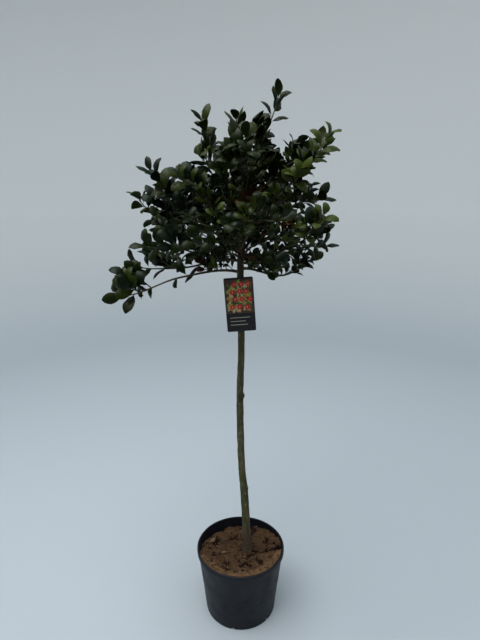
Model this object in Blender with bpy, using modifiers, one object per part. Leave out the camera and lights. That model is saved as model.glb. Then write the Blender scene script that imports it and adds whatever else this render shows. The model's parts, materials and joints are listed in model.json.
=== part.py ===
"""A holly grown as a standard: one clear stem with an open head of leaves, in a nursery pot.

Metres, +Z up. The origin is the middle of the pot's flat underside. +X is the plant's right and -Y its
front, where the label hangs. Places in the head are (heading, reach, height): degrees anticlockwise
from +X seen from above, distance from the pot's axis, and height above the ground.
"""

import math
import random
from collections import namedtuple

import bmesh
import bpy
import numpy as np
from mathutils import Matrix, Vector
from mathutils.bvhtree import BVHTree

CLEARANCE = 0.0003  # between pieces that rest on each other
UP = Vector((0, 0, 1))
GOLDEN_ANGLE = math.radians(137.5)
WELD_DISTANCE = 1e-6
SHARP_ANGLE = math.radians(40)  # edges sharper than this are shaded sharp

# Pot: a 13 litre container with a turned-out rim and drain holes where its wall meets its base
POT_HEIGHT = 0.240
POT_RIM_RADIUS = 0.150
POT_FOOT_RADIUS = 0.121
POT_WALL = 0.0025
RIM_DEPTH = 0.016
RIM_OVERHANG = 0.005
RIM_CHAMFER = 0.0015
FOOT_CHAMFER = 0.002
POT_STEPS = 36
DRAIN_HOLES = 6
DRAIN_WIDTH = 0.012
DRAIN_HEIGHT = 0.010
DRAIN_DEPTH = 0.012  # inwards from the foot's edge
DRAIN_FIRST_HEADING = 258

# Soil: level at the trunk, nearly up to the rim at the front right and lowest at the back left
SOIL_LEVEL = 0.222
SOIL_TOP = POT_HEIGHT - 0.003
SOIL_SLOPE = Vector((0.080, -0.130))
SOIL_LUMP_HEIGHT = 0.004
SOIL_LUMP_SPACING = 0.093
SOIL_RIPPLE_SPACING = 0.038
SOIL_FLAT = 0.040  # radius of the level patch round the trunk
SOIL_BLEND = 0.035
SOIL_RINGS = 7
SOIL_STEPS = 28

# Trunk: height above the ground, x, y and diameter, from the flat cut on the soil to the tip
TRUNK_COURSE = (
    (SOIL_LEVEL + CLEARANCE, 0.023, 0.004, 0.0385),
    (0.242, 0.023, 0.004, 0.0330),
    (0.275, 0.021, 0.004, 0.0295),
    (0.345, 0.018, 0.003, 0.0270),
    (0.457, 0.012, 0.002, 0.026),
    (0.515, 0.006, 0.001, 0.0235),
    (0.615, 0.001, 0.000, 0.0225),
    (0.810, -0.002, 0.000, 0.022),
    (0.950, 0.002, 0.000, 0.0205),
    (1.200, -0.001, 0.000, 0.020),
    (1.300, 0.002, 0.000, 0.017),
    (1.385, 0.004, 0.002, 0.011),
)
TRUNK_SIDES = 10
STEPS_PER_SPAN = 2
# Pruned side shoots that healed over: height, heading and radius
TRUNK_KNOTS = ((0.801, 0, 0.0085), (0.462, 20, 0.0055), (0.640, 250, 0.0050), (1.085, 130, 0.0050))
KNOT_REACH = 0.75  # from the trunk's centre to the knot's, as a share of the trunk's radius

# Limbs: the fork is a height on the trunk, or a length along the parent limb. The course bends near the
# second place and ends at the shoot tip. Its bare first part is a bough, and the rest carries leaves,
# which grow by the chance of its seed.
Limb = namedtuple("Limb", "name parent fork bend shoot_tip seed")
LIMBS = (
    Limb("left_low", "trunk", 1.195, (190, 0.177, 1.185), (190, 0.348, 1.136), 36),
    Limb("right_low", "trunk", 1.205, (0, 0.129, 1.186), (0, 0.211, 1.238), 0),
    Limb("back_low_left", "trunk", 1.210, (100, 0.120, 1.233), (117, 0.246, 1.208), 9),
    Limb("front_low", "trunk", 1.222, (308, 0.102, 1.216), (297, 0.168, 1.224), 14),
    Limb("left_shelf", "trunk", 1.228, (173, 0.189, 1.203), (176, 0.332, 1.213), 13),
    Limb("back_low_right", "trunk", 1.235, (61, 0.136, 1.268), (54, 0.278, 1.225), 32),
    Limb("right", "trunk", 1.250, (11, 0.162, 1.389), (7, 0.244, 1.407), 14),
    Limb("front", "trunk", 1.258, (281, 0.108, 1.323), (266, 0.201, 1.342), 17),
    Limb("left", "trunk", 1.268, (165, 0.196, 1.307), (164, 0.318, 1.399), 4),
    Limb("back", "trunk", 1.275, (94, 0.120, 1.369), (92, 0.250, 1.468), 39),
    Limb("right_high", "trunk", 1.288, (341, 0.159, 1.463), (339, 0.242, 1.557), 22),
    Limb("left_crest", "trunk", 1.300, (209, 0.124, 1.433), (212, 0.193, 1.464), 7),
    Limb("right_back_high", "trunk", 1.310, (34, 0.137, 1.491), (31, 0.277, 1.560), 17),
    Limb("top_left", "trunk", 1.330, (160, 0.056, 1.464), (163, 0.114, 1.630), 17),
    Limb("top_right", "trunk", 1.335, (0, 0.046, 1.520), (0, 0.102, 1.668), 39),
    Limb("top_fore", "trunk", 1.350, (286, 0.063, 1.462), (277, 0.101, 1.555), 27),
    Limb("back_top", "trunk", 1.355, (50, 0.080, 1.426), (60, 0.138, 1.540), 25),
    Limb("left_fore", "left_shelf", 0.050, (210, 0.204, 1.278), (214, 0.287, 1.288), 3),
    Limb("left_high", "left", 0.050, (180, 0.158, 1.392), (180, 0.250, 1.477), 31),
    Limb("right_mid", "right_low", 0.050, (351, 0.134, 1.273), (351, 0.255, 1.277), 34),
    Limb("right_fore", "right", 0.050, (333, 0.170, 1.299), (327, 0.252, 1.363), 7),
    Limb("front_left", "front", 0.045, (229, 0.126, 1.336), (238, 0.219, 1.287), 3),
    Limb("front_right", "front", 0.060, (290, 0.102, 1.347), (300, 0.207, 1.358), 18),
    Limb("back_left", "back", 0.045, (124, 0.145, 1.342), (123, 0.261, 1.438), 10),
    Limb("back_right", "back", 0.060, (58, 0.143, 1.343), (65, 0.255, 1.457), 15),
)
LEADER_SHOOT_TIP = (110, 0.042, 1.646)  # of the limb that goes on from the trunk's tip
LEADER_SEED = 38
BARE_LENGTH = 0.085  # of a limb from the trunk
SIDE_BARE_LENGTH = 0.050  # of a limb from another
TRUNK_FORK_SHARE = 0.42  # of the trunk's radius, that a limb starts with
LIMB_FORK_SHARE = 0.80
LEADER_SHARE = 0.80
FOLLOW_PARENT = 0.35  # how far a limb sets out along its parent
LIMB_LIFT = 0.30  # how strongly a limb's end turns up to the light
SHOOT_TIP_RADIUS = 0.0015
COURSE_STEPS = 8
BOUGH_SIDES = 6
BOUGH_STEPS = 3
CUTTER_GAP = 1.2 * CLEARANCE  # at a cutter's corners, so that its flat sides keep the clearance too

# Leaf masses
STEM_STEPS = 5
STEM_STRAIGHT = 0.004  # from the bough's tip, so that the two cut ends face each other squarely
STEM_REJOINS = 0.012  # from the bough's tip, where the stem is back on its limb's course
STEM_SHARE = 0.95  # of its bough's radius
TWIG_RADIUS = 0.0018
TWIG_SPACING = 0.034
TWIGGY_SHARE = 0.56  # of a stem. Its outer end has only leaves
FIRST_TWIG = 0.012  # from the start of the stem
TWIG_LENGTH = 0.085
TWIG_SHORTENING = 0.45  # share of its length that a twig loses from the stem's start to its tip
TWIG_VARIATION = 0.15
TWIG_SPREAD = math.radians(50)
TWIG_LIFT = 0.45  # how strongly a twig turns up to the light
LEAST_RISE = -0.20  # of the way a twig sets out. One that would point lower turns up
LEAFY_SHARE = 0.85  # of a twig's or a stem's length, measured from its tip
LEAF_SPACING = 0.0215
FEWEST_LEAVES = 3
FIRST_LEAF = 0.006  # from the tip
LEAF_LENGTH = 0.072
LEAF_WIDTH = 0.040
LEAF_THICKNESS = 0.0016
LEAF_SIZES = 0.85, 1.10
LEAF_SPREAD_AT_TIP = math.radians(24)
LEAF_SPREAD_BELOW = math.radians(56)
SPREAD_OVER = 0.045  # length over which the leaves open out, from the shoot tip down
SPREAD_VARIATION = math.radians(7)
LEAF_LIFT = 0.45
LEAF_TRIES = 5  # places round the shoot, before a leaf is skipped
SKY_TURN = 0.35  # how far a leaf's upper face turns to the sky
LIGHT_TURN = 0.60  # how far it turns to the open side of its row, before or behind the plant
ROW_MIDDLE = 0.060  # behind this a leaf turns to the back
LEAF_ROLL_TURN = math.radians(38)  # chance turn about its own length
PETIOLE_SHARE = 0.15  # of a leaf's length, that may lie inside its twig
# The lone shoot hangs out on the left. Leaves and twigs crowd at its tip, beyond a bare stretch
LONE_SHOOT = "left_low"
LONE_TWIGGY_SHARE = 0.85
LONE_LIGHT_TURN = 1.70
LONE_LEAF = 1.12  # size of its leaves
LONE_BARE_STRETCH = 0.105, 0.165  # as lengths from its tip
MASS_REACH = 0.120  # the furthest that anything grows from its own stem
MASS_GAP = 0.0010  # kept on each side of the border between two masses
LIMB_GAP = 0.0010  # kept between foliage and limbs

# Label: a card that hangs from a strap round the trunk, and leans a little
CARD_WIDTH = 0.087
CARD_HEIGHT = 0.165
CARD_THICKNESS = 0.0008
CARD_CORNER = 0.004
CARD_CENTRE = (-0.002, 1.099)  # x and height
CARD_TURN = math.radians(4.2)
CARD_GAP = 0.0004  # between the card, its strap and the trunk
SLOT_HEIGHT = 0.0072
SLOT_CORNER = 0.0008
STRAP_BELOW_EDGE = 0.009
STRAP_WIDTH = 0.005
STRAP_THICKNESS = 0.0009
STRAP_STEPS = 24


# ---------------------------------------------------------------- scene and materials


def clear_scene():
    for obj in list(bpy.data.objects):
        bpy.data.objects.remove(obj, do_unlink=True)


def new_collection(name, shown=True):
    made = bpy.data.collections.new(name)
    bpy.context.scene.collection.children.link(made)
    made.hide_render = not shown
    return made


def new_material(name, colour, roughness):
    made = bpy.data.materials.new(name)
    made.use_nodes = True
    shader = made.node_tree.nodes["Principled BSDF"]
    shader.inputs["Base Color"].default_value = (*colour, 1)
    shader.inputs["Roughness"].default_value = roughness
    shader.inputs["Metallic"].default_value = 0.0
    return made


def add_object(name, data, collection, material=None):
    made = bpy.data.objects.new(name, data)
    collection.objects.link(made)
    if material is not None:
        made.data.materials.append(material)
    return made


def as_helper(obj):
    """Marks a cutter or a guide: it isn't rendered, and it shows as wires."""
    obj.hide_render = True
    obj.display_type = "WIRE"
    return obj


def shade_round(obj):
    obj.data.shade_smooth()
    obj.data.set_sharp_from_angle(angle=SHARP_ANGLE)
    return obj


def as_mesh_object(obj, collection):
    """A mesh object in place of a curve or of an object with modifiers. It takes over the name."""
    bpy.context.view_layer.update()
    graph = bpy.context.evaluated_depsgraph_get()
    mesh = bpy.data.meshes.new_from_object(obj.evaluated_get(graph))
    name, matrix = obj.name, obj.matrix_world.copy()
    bpy.data.objects.remove(obj, do_unlink=True)
    made = add_object(name, mesh, collection)
    made.matrix_world = matrix
    return made


def edit_mesh(obj, *operations):
    """Runs functions of a bmesh on an object's mesh."""
    bm = bmesh.new()
    bm.from_mesh(obj.data)
    for operation in operations:
        operation(bm)
    bm.to_mesh(obj.data)
    bm.free()
    return obj


def weld(bm):
    """Joins the caps of a swept curve to its sides."""
    bmesh.ops.remove_doubles(bm, verts=bm.verts, dist=WELD_DISTANCE)
    bmesh.ops.recalc_face_normals(bm, faces=bm.faces)


def drop_scraps(bm):
    """Keeps only the largest of the pieces that share no vertex."""
    seen, pieces = set(), []
    for vert in bm.verts:
        if vert in seen:
            continue
        piece, to_visit = {vert}, [vert]
        while to_visit:
            for edge in to_visit.pop().link_edges:
                new = set(edge.verts) - piece
                piece |= new
                to_visit.extend(new)
        seen |= piece
        pieces.append(piece)
    largest = max(pieces, key=len)
    bmesh.ops.delete(bm, geom=[v for v in bm.verts if v not in largest], context="VERTS")


def add_boolean(obj, operation, other=None, collection=None):
    """A Boolean with one other object, or with all of a collection's."""
    modifier = obj.modifiers.new(operation.title(), "BOOLEAN")
    modifier.operation = operation
    modifier.solver = "EXACT"
    if collection is None:
        modifier.object = other
    else:
        modifier.operand_type = "COLLECTION"
        modifier.collection = collection


def fuse(obj, added, collection):
    """Joins all of the added collection's objects to obj in one union, and removes them."""
    add_boolean(obj, "UNION", collection=added)
    fused = as_mesh_object(obj, collection)
    for helper in list(added.objects):
        bpy.data.objects.remove(helper, do_unlink=True)
    bpy.data.collections.remove(added)
    return fused


# ---------------------------------------------------------------- lines and limbs


def place(heading, reach, height):
    angle = math.radians(heading)
    return Vector((reach * math.cos(angle), reach * math.sin(angle), height))


def smooth_course(rows, steps):
    """Rows of numbers joined by a Catmull-Rom spline, with steps rows to each span."""
    rows = np.array(rows, float)
    padded = np.vstack([2 * rows[0] - rows[1], rows, 2 * rows[-1] - rows[-2]])
    made = []
    for i in range(len(rows) - 1):
        a, b, c, d = padded[i : i + 4]
        for t in np.arange(steps) / steps:
            made.append(
                b
                + 0.5 * t * (c - a)
                + t * t * (a - 2.5 * b + 2 * c - 0.5 * d)
                + t**3 * (-0.5 * a + 1.5 * b - 1.5 * c + 0.5 * d)
            )
    made.append(rows[-1])
    return made


def bezier(start, leave, arrive, end, steps):
    """Points from start to end, along leave at first and along arrive at last."""
    handle = (end - start).length / 3
    near, far = start + leave * handle, end - arrive * handle
    points = []
    for i in range(steps + 1):
        t = i / steps
        s = 1 - t
        points.append(s**3 * start + 3 * s * s * t * near + 3 * s * t * t * far + t**3 * end)
    return points


class Course:
    """A limb's centre line with an even taper."""

    def __init__(self, line, first_radius, last_radius=SHOOT_TIP_RADIUS):
        self.line = line
        self.radii = first_radius, last_radius
        self.length = sum((b - a).length for a, b in zip(line, line[1:]))

    def at(self, length):
        """The point and the direction at a length from the start."""
        for a, b in zip(self.line, self.line[1:]):
            span = (b - a).length
            if length <= span:
                break
            length -= span
        return a + (b - a) * min(length / span, 1), (b - a).normalized()

    def radius(self, length):
        first, last = self.radii
        return first + (last - first) * length / self.length

    def points(self):
        """The line's own points as (point, radius) pairs."""
        lengths = [0]
        for a, b in zip(self.line, self.line[1:]):
            lengths.append(lengths[-1] + (b - a).length)
        return [(point, self.radius(length)) for point, length in zip(self.line, lengths)]

    def stretch(self, start, end, steps):
        """Evenly spaced (point, radius) pairs between two lengths."""
        lengths = [start + (end - start) * i / steps for i in range(steps + 1)]
        return [(self.at(length)[0], self.radius(length)) for length in lengths]


def polygon_profile(sides, guides):
    """The cross-section that a limb with that many sides is swept from."""
    curve = bpy.data.curves.new(f"profile_{sides}", "CURVE")
    spline = curve.splines.new("POLY")
    spline.points.add(sides - 1)
    for i, point in enumerate(spline.points):
        angle = 2 * math.pi * i / sides
        point.co = (math.cos(angle), math.sin(angle), 0, 1)
    spline.use_cyclic_u = True
    return as_helper(add_object(curve.name, curve, guides))


def tube(name, points, profile, collection, material=None):
    """A tapering closed tube through (point, radius) pairs, as a mesh object."""
    curve = bpy.data.curves.new(name, "CURVE")
    curve.dimensions = "3D"
    curve.bevel_mode = "OBJECT"
    curve.bevel_object = profile
    curve.use_fill_caps = True
    spline = curve.splines.new("POLY")
    spline.points.add(len(points) - 1)
    for point, (place_on_line, radius) in zip(spline.points, points):
        point.co = (*place_on_line, 1)
        point.radius = radius
    swept = add_object(name, curve, collection, material)
    return edit_mesh(as_mesh_object(swept, collection), weld)


def turned(name, profile, steps, collection, material):
    """A profile of radii and heights turned round the Z axis. It runs down its outer side."""
    bm = bmesh.new()
    points = [bm.verts.new((radius, 0, height)) for radius, height in profile]
    for a, b in zip(points, points[1:]):
        bm.edges.new((a, b))
    mesh = bpy.data.meshes.new(name)
    bm.to_mesh(mesh)
    bm.free()
    made = add_object(name, mesh, collection)
    screw = made.modifiers.new("Turn", "SCREW")
    screw.steps = screw.render_steps = steps
    screw.use_merge_vertices = True
    screw.merge_threshold = 0.0001
    made = as_mesh_object(made, collection)
    made.data.materials.append(material)
    return made


# ---------------------------------------------------------------- pot and soil


def wall_radius(height):
    """The pot's outside below the rim."""
    under_rim = POT_HEIGHT - RIM_DEPTH
    widest = POT_RIM_RADIUS - RIM_OVERHANG
    return POT_FOOT_RADIUS + (widest - POT_FOOT_RADIUS) * height / under_rim


def make_pot(collection, cutters, material):
    rim_base = POT_HEIGHT - RIM_DEPTH
    inner_top = wall_radius(POT_HEIGHT) - POT_WALL
    profile = (
        (inner_top, POT_HEIGHT),
        (POT_RIM_RADIUS - RIM_CHAMFER, POT_HEIGHT),
        (POT_RIM_RADIUS, POT_HEIGHT - RIM_CHAMFER),
        (POT_RIM_RADIUS, rim_base + RIM_CHAMFER),
        (POT_RIM_RADIUS - RIM_CHAMFER, rim_base),
        (wall_radius(rim_base), rim_base),
        (wall_radius(FOOT_CHAMFER), FOOT_CHAMFER),
        (POT_FOOT_RADIUS - FOOT_CHAMFER, 0),
        (0, 0),
        (0, POT_WALL),
        (wall_radius(POT_WALL) - POT_WALL, POT_WALL),
        (inner_top, POT_HEIGHT),
    )
    pot = turned("pot", profile, POT_STEPS, collection, material)
    for i in range(DRAIN_HOLES):
        heading = math.radians(DRAIN_FIRST_HEADING + i * 360 / DRAIN_HOLES)
        bm = bmesh.new()
        bmesh.ops.create_cube(bm, size=2)
        bm.transform(
            Matrix.Rotation(heading, 4, "Z")
            @ Matrix.Translation((POT_FOOT_RADIUS, 0, 0))
            @ Matrix.Diagonal((DRAIN_DEPTH, DRAIN_WIDTH / 2, DRAIN_HEIGHT, 1))
        )
        mesh = bpy.data.meshes.new(f"drain_cutter_{i}")
        bm.to_mesh(mesh)
        bm.free()
        as_helper(add_object(mesh.name, mesh, cutters))
    add_boolean(pot, "DIFFERENCE", collection=cutters)
    shade_round(as_mesh_object(pot, collection))


def soil_height(x, y):
    """The soil's surface: flat under the trunk, and lumpy and sloping away from it."""
    from_trunk = math.dist((x, y), TRUNK_COURSE[0][1:3])
    share = min(max((from_trunk - SOIL_FLAT) / SOIL_BLEND, 0), 1)
    lump = 2 * math.pi / SOIL_LUMP_SPACING
    ripple = 2 * math.pi / SOIL_RIPPLE_SPACING
    lumps = math.sin(lump * x + 1) * math.cos(lump * y) + math.sin(ripple * (x - y)) / 2
    height = SOIL_LEVEL + share * (SOIL_SLOPE.dot((x, y)) + SOIL_LUMP_HEIGHT * lumps)
    return min(height, SOIL_TOP)


def make_soil(collection, material):
    """Filled to the pot's inner wall. The wall's flat sides come nearer to the axis than its corners."""
    flat_sides = math.cos(math.pi / POT_STEPS)

    def inner_radius(height):
        return (wall_radius(height) - POT_WALL - CLEARANCE) * flat_sides

    bottom = POT_WALL + CLEARANCE
    edge = inner_radius(SOIL_LEVEL)
    top = [(edge * ring / SOIL_RINGS, SOIL_LEVEL) for ring in range(SOIL_RINGS + 1)]
    profile = [*top, (inner_radius(bottom), bottom), (0, bottom)]
    soil = turned("soil", profile, SOIL_STEPS, collection, material)
    for vertex in soil.data.vertices:
        if vertex.co.z > bottom + CLEARANCE:
            x, y, _ = vertex.co
            vertex.co.z = soil_height(x, y)
            vertex.co.xy *= inner_radius(vertex.co.z) / edge
    shade_round(soil)


# ---------------------------------------------------------------- trunk and boughs


def trunk_points():
    """The trunk's (point, radius) pairs. The first two are in a plumb line, so that its cut is level."""
    rows = smooth_course(TRUNK_COURSE, STEPS_PER_SPAN)
    points = [(Vector((x, y, height)), diameter / 2) for height, x, y, diameter in rows]
    points[1][0].xy = points[0][0].xy
    return points


def trunk_at(height, points):
    """The centre, direction and radius of the trunk at a height."""
    for (low, radius), (high, upper_radius) in zip(points, points[1:]):
        if high.z >= height:
            break
    share = (height - low.z) / (high.z - low.z)
    return low.lerp(high, share), (high - low).normalized(), radius + (upper_radius - radius) * share


def make_trunk(points, profile, collection, material):
    trunk = tube("trunk", points, profile, collection, material)
    knots = new_collection("knots", shown=False)
    for i, (height, heading, radius) in enumerate(TRUNK_KNOTS):
        centre, _, trunk_radius = trunk_at(height, points)
        bm = bmesh.new()
        bmesh.ops.create_uvsphere(bm, u_segments=8, v_segments=5, radius=radius)
        bm.transform(Matrix.Translation(centre + place(heading, trunk_radius * KNOT_REACH, 0)))
        mesh = bpy.data.meshes.new(f"knot_{i}")
        bm.to_mesh(mesh)
        bm.free()
        add_object(mesh.name, mesh, knots, material)
    shade_round(fuse(trunk, knots, collection))


def limb_courses(trunk):
    """{name: course} of every limb, each from its parent's centre line, and of the leader."""
    courses = {}
    for limb in LIMBS:
        if limb.parent == "trunk":
            root, onward, radius = trunk_at(limb.fork, trunk)
            first_radius = radius * TRUNK_FORK_SHARE
        else:
            root, onward = courses[limb.parent].at(limb.fork)
            first_radius = courses[limb.parent].radius(limb.fork) * LIMB_FORK_SHARE
        bend, end = place(*limb.bend), place(*limb.shoot_tip)
        leave = ((bend - root).normalized() + FOLLOW_PARENT * onward).normalized()
        through = ((bend - root).normalized() + (end - bend).normalized()).normalized()
        upward = ((end - bend).normalized() + LIMB_LIFT * UP).normalized()
        first_part = bezier(root, leave, through, bend, COURSE_STEPS)
        line = first_part + bezier(bend, through, upward, end, COURSE_STEPS)[1:]
        courses[limb.name] = Course(line, first_radius)
    (before, _), (root, radius) = trunk[-2:]
    onward, end = (root - before).normalized(), place(*LEADER_SHOOT_TIP)
    upward = ((end - root).normalized() + LIMB_LIFT * UP).normalized()
    leader_line = bezier(root, onward, upward, end, COURSE_STEPS)
    courses["leader"] = Course(leader_line, radius * LEADER_SHARE)
    return courses


def bare_length(limb):
    return BARE_LENGTH if limb.parent == "trunk" else SIDE_BARE_LENGTH


def bough_points(courses):
    """{limb name: its bare part's (point, radius) pairs}."""
    return {limb.name: courses[limb.name].stretch(0, bare_length(limb), BOUGH_STEPS) for limb in LIMBS}


def make_boughs(boughs, trunk, bough_profile, trunk_profile, collection, cutters, material):
    """Each bough is cut at its root to the shape of the limb it grows from, a clearance away."""
    cuts = {"trunk": (trunk, trunk_profile)}
    for limb in LIMBS:
        if limb.parent not in cuts:
            cuts[limb.parent] = boughs[limb.parent], bough_profile
    for name, (points, profile) in cuts.items():
        wider = [(point, radius + CUTTER_GAP) for point, radius in points]
        as_helper(tube(f"{name}_cutter", wider, profile, cutters))
    for limb in LIMBS:
        bough = tube(f"bough_{limb.name}", boughs[limb.name], bough_profile, collection, material)
        add_boolean(bough, "DIFFERENCE", other=cutters.objects[f"{limb.parent}_cutter"])
        shade_round(edit_mesh(as_mesh_object(bough, collection), drop_scraps))


# ---------------------------------------------------------------- leaf masses


Leaf = namedtuple("Leaf", "root along face length width")


def surface_tree(objects):
    """One tree of the surfaces that leaves and twigs keep clear of."""
    bpy.context.view_layer.update()
    vertices, faces = [], []
    for obj in objects:
        first = len(vertices)
        vertices += [obj.matrix_world @ v.co for v in obj.data.vertices]
        faces += [[first + i for i in p.vertices] for p in obj.data.polygons]
    return BVHTree.FromPolygons(vertices, faces)


def side_of(direction):
    """Any direction square to this one."""
    return direction.cross(UP if abs(direction.z) < 0.9 else Vector((1, 0, 0))).normalized()


def rotated(direction, around, angle):
    return Matrix.Rotation(angle, 3, around) @ direction


def blade_corners(leaf, from_share=0.0):
    """The corners of a leaf's flat outline: root end, left, tip and right."""
    across = leaf.along.cross(leaf.face)
    middle = leaf.root + leaf.along * leaf.length * 0.5
    root_end = leaf.root + leaf.along * leaf.length * from_share
    half = across * leaf.width / 2
    return [root_end, middle - half, leaf.root + leaf.along * leaf.length, middle + half]


def blade_tree(leaf):
    """For tests against other blades and limbs. It leaves out the root end, which is in the twig."""
    return BVHTree.FromPolygons(blade_corners(leaf, PETIOLE_SHARE), [(0, 1, 2, 3)])


def distances(points, line):
    """The distance from each point to the nearest part of a line."""
    p = np.array(points, float)[:, None]
    a, b = np.array(line[:-1], float), np.array(line[1:], float)
    t = np.clip(((p - a) * (b - a)).sum(2) / ((b - a) ** 2).sum(1), 0, 1)[:, :, None]
    return np.linalg.norm(p - (a + t * (b - a)), axis=2).min(axis=1)


class Space:
    """A mass's own space: what is nearer to its stem than to any other, within reach and off the limbs."""

    def __init__(self, name, stems, limb_tree):
        self.name = name
        self.stem = stems[name].line
        self.others = [other.line for key, other in stems.items() if key != name]
        self.limb_tree = limb_tree
        self.blades = []

    def holds(self, points, margin):
        own = distances(points, self.stem)
        if own.max() > MASS_REACH:
            return False
        return all((distances(points, other) > own + 2 * margin).all() for other in self.others)

    def takes_twig(self, line):
        margin = TWIG_RADIUS + LIMB_GAP
        points = [a.lerp(b, t / 4) for a, b in zip(line[1:-1], line[2:]) for t in range(5)]
        near_limb = any(self.limb_tree.find_nearest(p, margin)[0] is not None for p in points)
        return not near_limb and self.holds(points, MASS_GAP + TWIG_RADIUS)

    def takes_leaf(self, leaf):
        blade = blade_tree(leaf)
        if not self.holds(blade_corners(leaf), MASS_GAP) or blade.overlap(self.limb_tree):
            return False
        if any(blade.overlap(other) for other in self.blades):
            return False
        self.blades.append(blade)
        return True


def stem_courses(courses, boughs, trunk):
    """{mass name: its stem}, each a clearance beyond the tip of its bough or of the trunk."""
    bare = {limb.name: bare_length(limb) for limb in LIMBS} | {"leader": 0}
    stems = {}
    for name, course in courses.items():
        (before, _), (tip, radius) = boughs.get(name, trunk)[-2:]
        onward = (tip - before).normalized()
        root = tip + onward * CLEARANCE
        rest = course.stretch(bare[name] + STEM_REJOINS, course.length, STEM_STEPS)
        line = [root, root + onward * STEM_STRAIGHT, *(point for point, _ in rest)]
        stems[name] = Course(line, radius * STEM_SHARE)
    return stems


def turned_up(direction):
    """The direction, or one to the same side and a little up, where it points down."""
    if direction.z >= LEAST_RISE:
        return direction
    return Vector((direction.x, direction.y, -LEAST_RISE)).normalized()


def in_bare_stretch(name, from_tip):
    low, high = LONE_BARE_STRETCH
    return name == LONE_SHOOT and low < from_tip < high


def grow_twigs(stem, space, rng):
    """Twigs in a spiral up the stem, shorter towards its tip, that turn up to the light."""
    twigs = []
    spin = rng.uniform(0, 2 * math.pi)
    twiggy_share = LONE_TWIGGY_SHARE if space.name == LONE_SHOOT else TWIGGY_SHARE
    count = int((stem.length * twiggy_share - FIRST_TWIG) / TWIG_SPACING) + 1
    for i in range(count):
        length_along = FIRST_TWIG + i * TWIG_SPACING
        root, onward = stem.at(length_along)
        out = rotated(side_of(onward), onward, spin + i * GOLDEN_ANGLE)
        leave = turned_up(onward * math.cos(TWIG_SPREAD) + out * math.sin(TWIG_SPREAD))
        length = TWIG_LENGTH * (1 - TWIG_SHORTENING * length_along / stem.length)
        length *= rng.uniform(1 - TWIG_VARIATION, 1 + TWIG_VARIATION)
        end = root + (leave + TWIG_LIFT * UP).normalized() * length
        line = bezier(root, leave, (leave + 2 * TWIG_LIFT * UP).normalized(), end, 2)
        if in_bare_stretch(space.name, stem.length - length_along):
            continue
        if space.takes_twig(line):
            twigs.append(Course(line, TWIG_RADIUS))
    return twigs


def leaf_at(shoot, from_tip, angle, name, rng):
    """A leaf of the named mass, at a length from a shoot's tip."""
    root, onward = shoot.at(shoot.length - from_tip)
    out = rotated(side_of(onward), onward, angle)
    opened = min(from_tip / SPREAD_OVER, 1)
    spread = LEAF_SPREAD_AT_TIP + (LEAF_SPREAD_BELOW - LEAF_SPREAD_AT_TIP) * opened
    spread += rng.uniform(-SPREAD_VARIATION, SPREAD_VARIATION)
    outward = (onward * math.cos(spread) + out * math.sin(spread) + LEAF_LIFT * UP).normalized()
    open_side = Vector((0, -1 if root.y < ROW_MIDDLE else 1, 0))
    light_turn = LONE_LIGHT_TURN if name == LONE_SHOOT else LIGHT_TURN
    face = onward * math.sin(spread) - out * math.cos(spread) + SKY_TURN * UP + light_turn * open_side
    face = (face - outward * face.dot(outward)).normalized()
    face = rotated(face, outward, rng.uniform(-LEAF_ROLL_TURN, LEAF_ROLL_TURN))
    size = rng.uniform(*LEAF_SIZES) * (LONE_LEAF if name == LONE_SHOOT else 1)
    return Leaf(root, outward, face, LEAF_LENGTH * size, LEAF_WIDTH * size)


def grow_leaves(shoot, space, rng, is_stem=False):
    """Leaves in a spiral along a shoot, from its tip down. One without room tries further round."""
    leafy = shoot.length * LEAFY_SHARE
    count = max(FEWEST_LEAVES, round(leafy / LEAF_SPACING) + 1)
    spin = rng.uniform(0, 2 * math.pi)
    leaves = []
    for i in range(count):
        from_tip = FIRST_LEAF + leafy * i / count
        if is_stem and in_bare_stretch(space.name, from_tip):
            continue
        for attempt in range(LEAF_TRIES):
            angle = spin + i * GOLDEN_ANGLE + attempt * 2 * math.pi / LEAF_TRIES
            leaf = leaf_at(shoot, from_tip, angle, space.name, rng)
            if space.takes_leaf(leaf):
                leaves.append(leaf)
                break
    return leaves


def make_leaf(leaf, name, collection, material):
    """A blade of eight faces, from the root in the middle of its twig to the tip."""
    middle = leaf.root + leaf.along * leaf.length / 2
    bm = bmesh.new()
    bmesh.ops.create_uvsphere(bm, u_segments=4, v_segments=2, radius=1)
    turn = Matrix((leaf.face.cross(leaf.along), leaf.face, leaf.along)).transposed().to_4x4()
    size = Matrix.Diagonal((leaf.width / 2, LEAF_THICKNESS / 2, leaf.length / 2, 1))
    bm.transform(Matrix.Translation(middle) @ turn @ size)
    mesh = bpy.data.meshes.new(name)
    bm.to_mesh(mesh)
    bm.free()
    add_object(name, mesh, collection, material)


def make_masses(stems, limb_tree, profile, collection, material):
    seeds = {**{limb.name: limb.seed for limb in LIMBS}, "leader": LEADER_SEED}
    for name, stem in stems.items():
        rng = random.Random(seeds[name])
        space = Space(name, stems, limb_tree)
        twigs = grow_twigs(stem, space, rng)
        leaves = [
            leaf for shoot in (stem, *twigs) for leaf in grow_leaves(shoot, space, rng, shoot is stem)
        ]
        pieces = new_collection(f"pieces_{name}", shown=False)
        for i, twig in enumerate(twigs):
            tube(f"twig_{i}", twig.points(), profile, pieces, material)
        for i, leaf in enumerate(leaves):
            make_leaf(leaf, f"leaf_{i}", pieces, material)
        mass = tube(f"leaves_{name}", stem.points(), profile, collection, material)
        shade_round(edit_mesh(fuse(mass, pieces, collection), drop_scraps))


# ---------------------------------------------------------------- label


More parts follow.
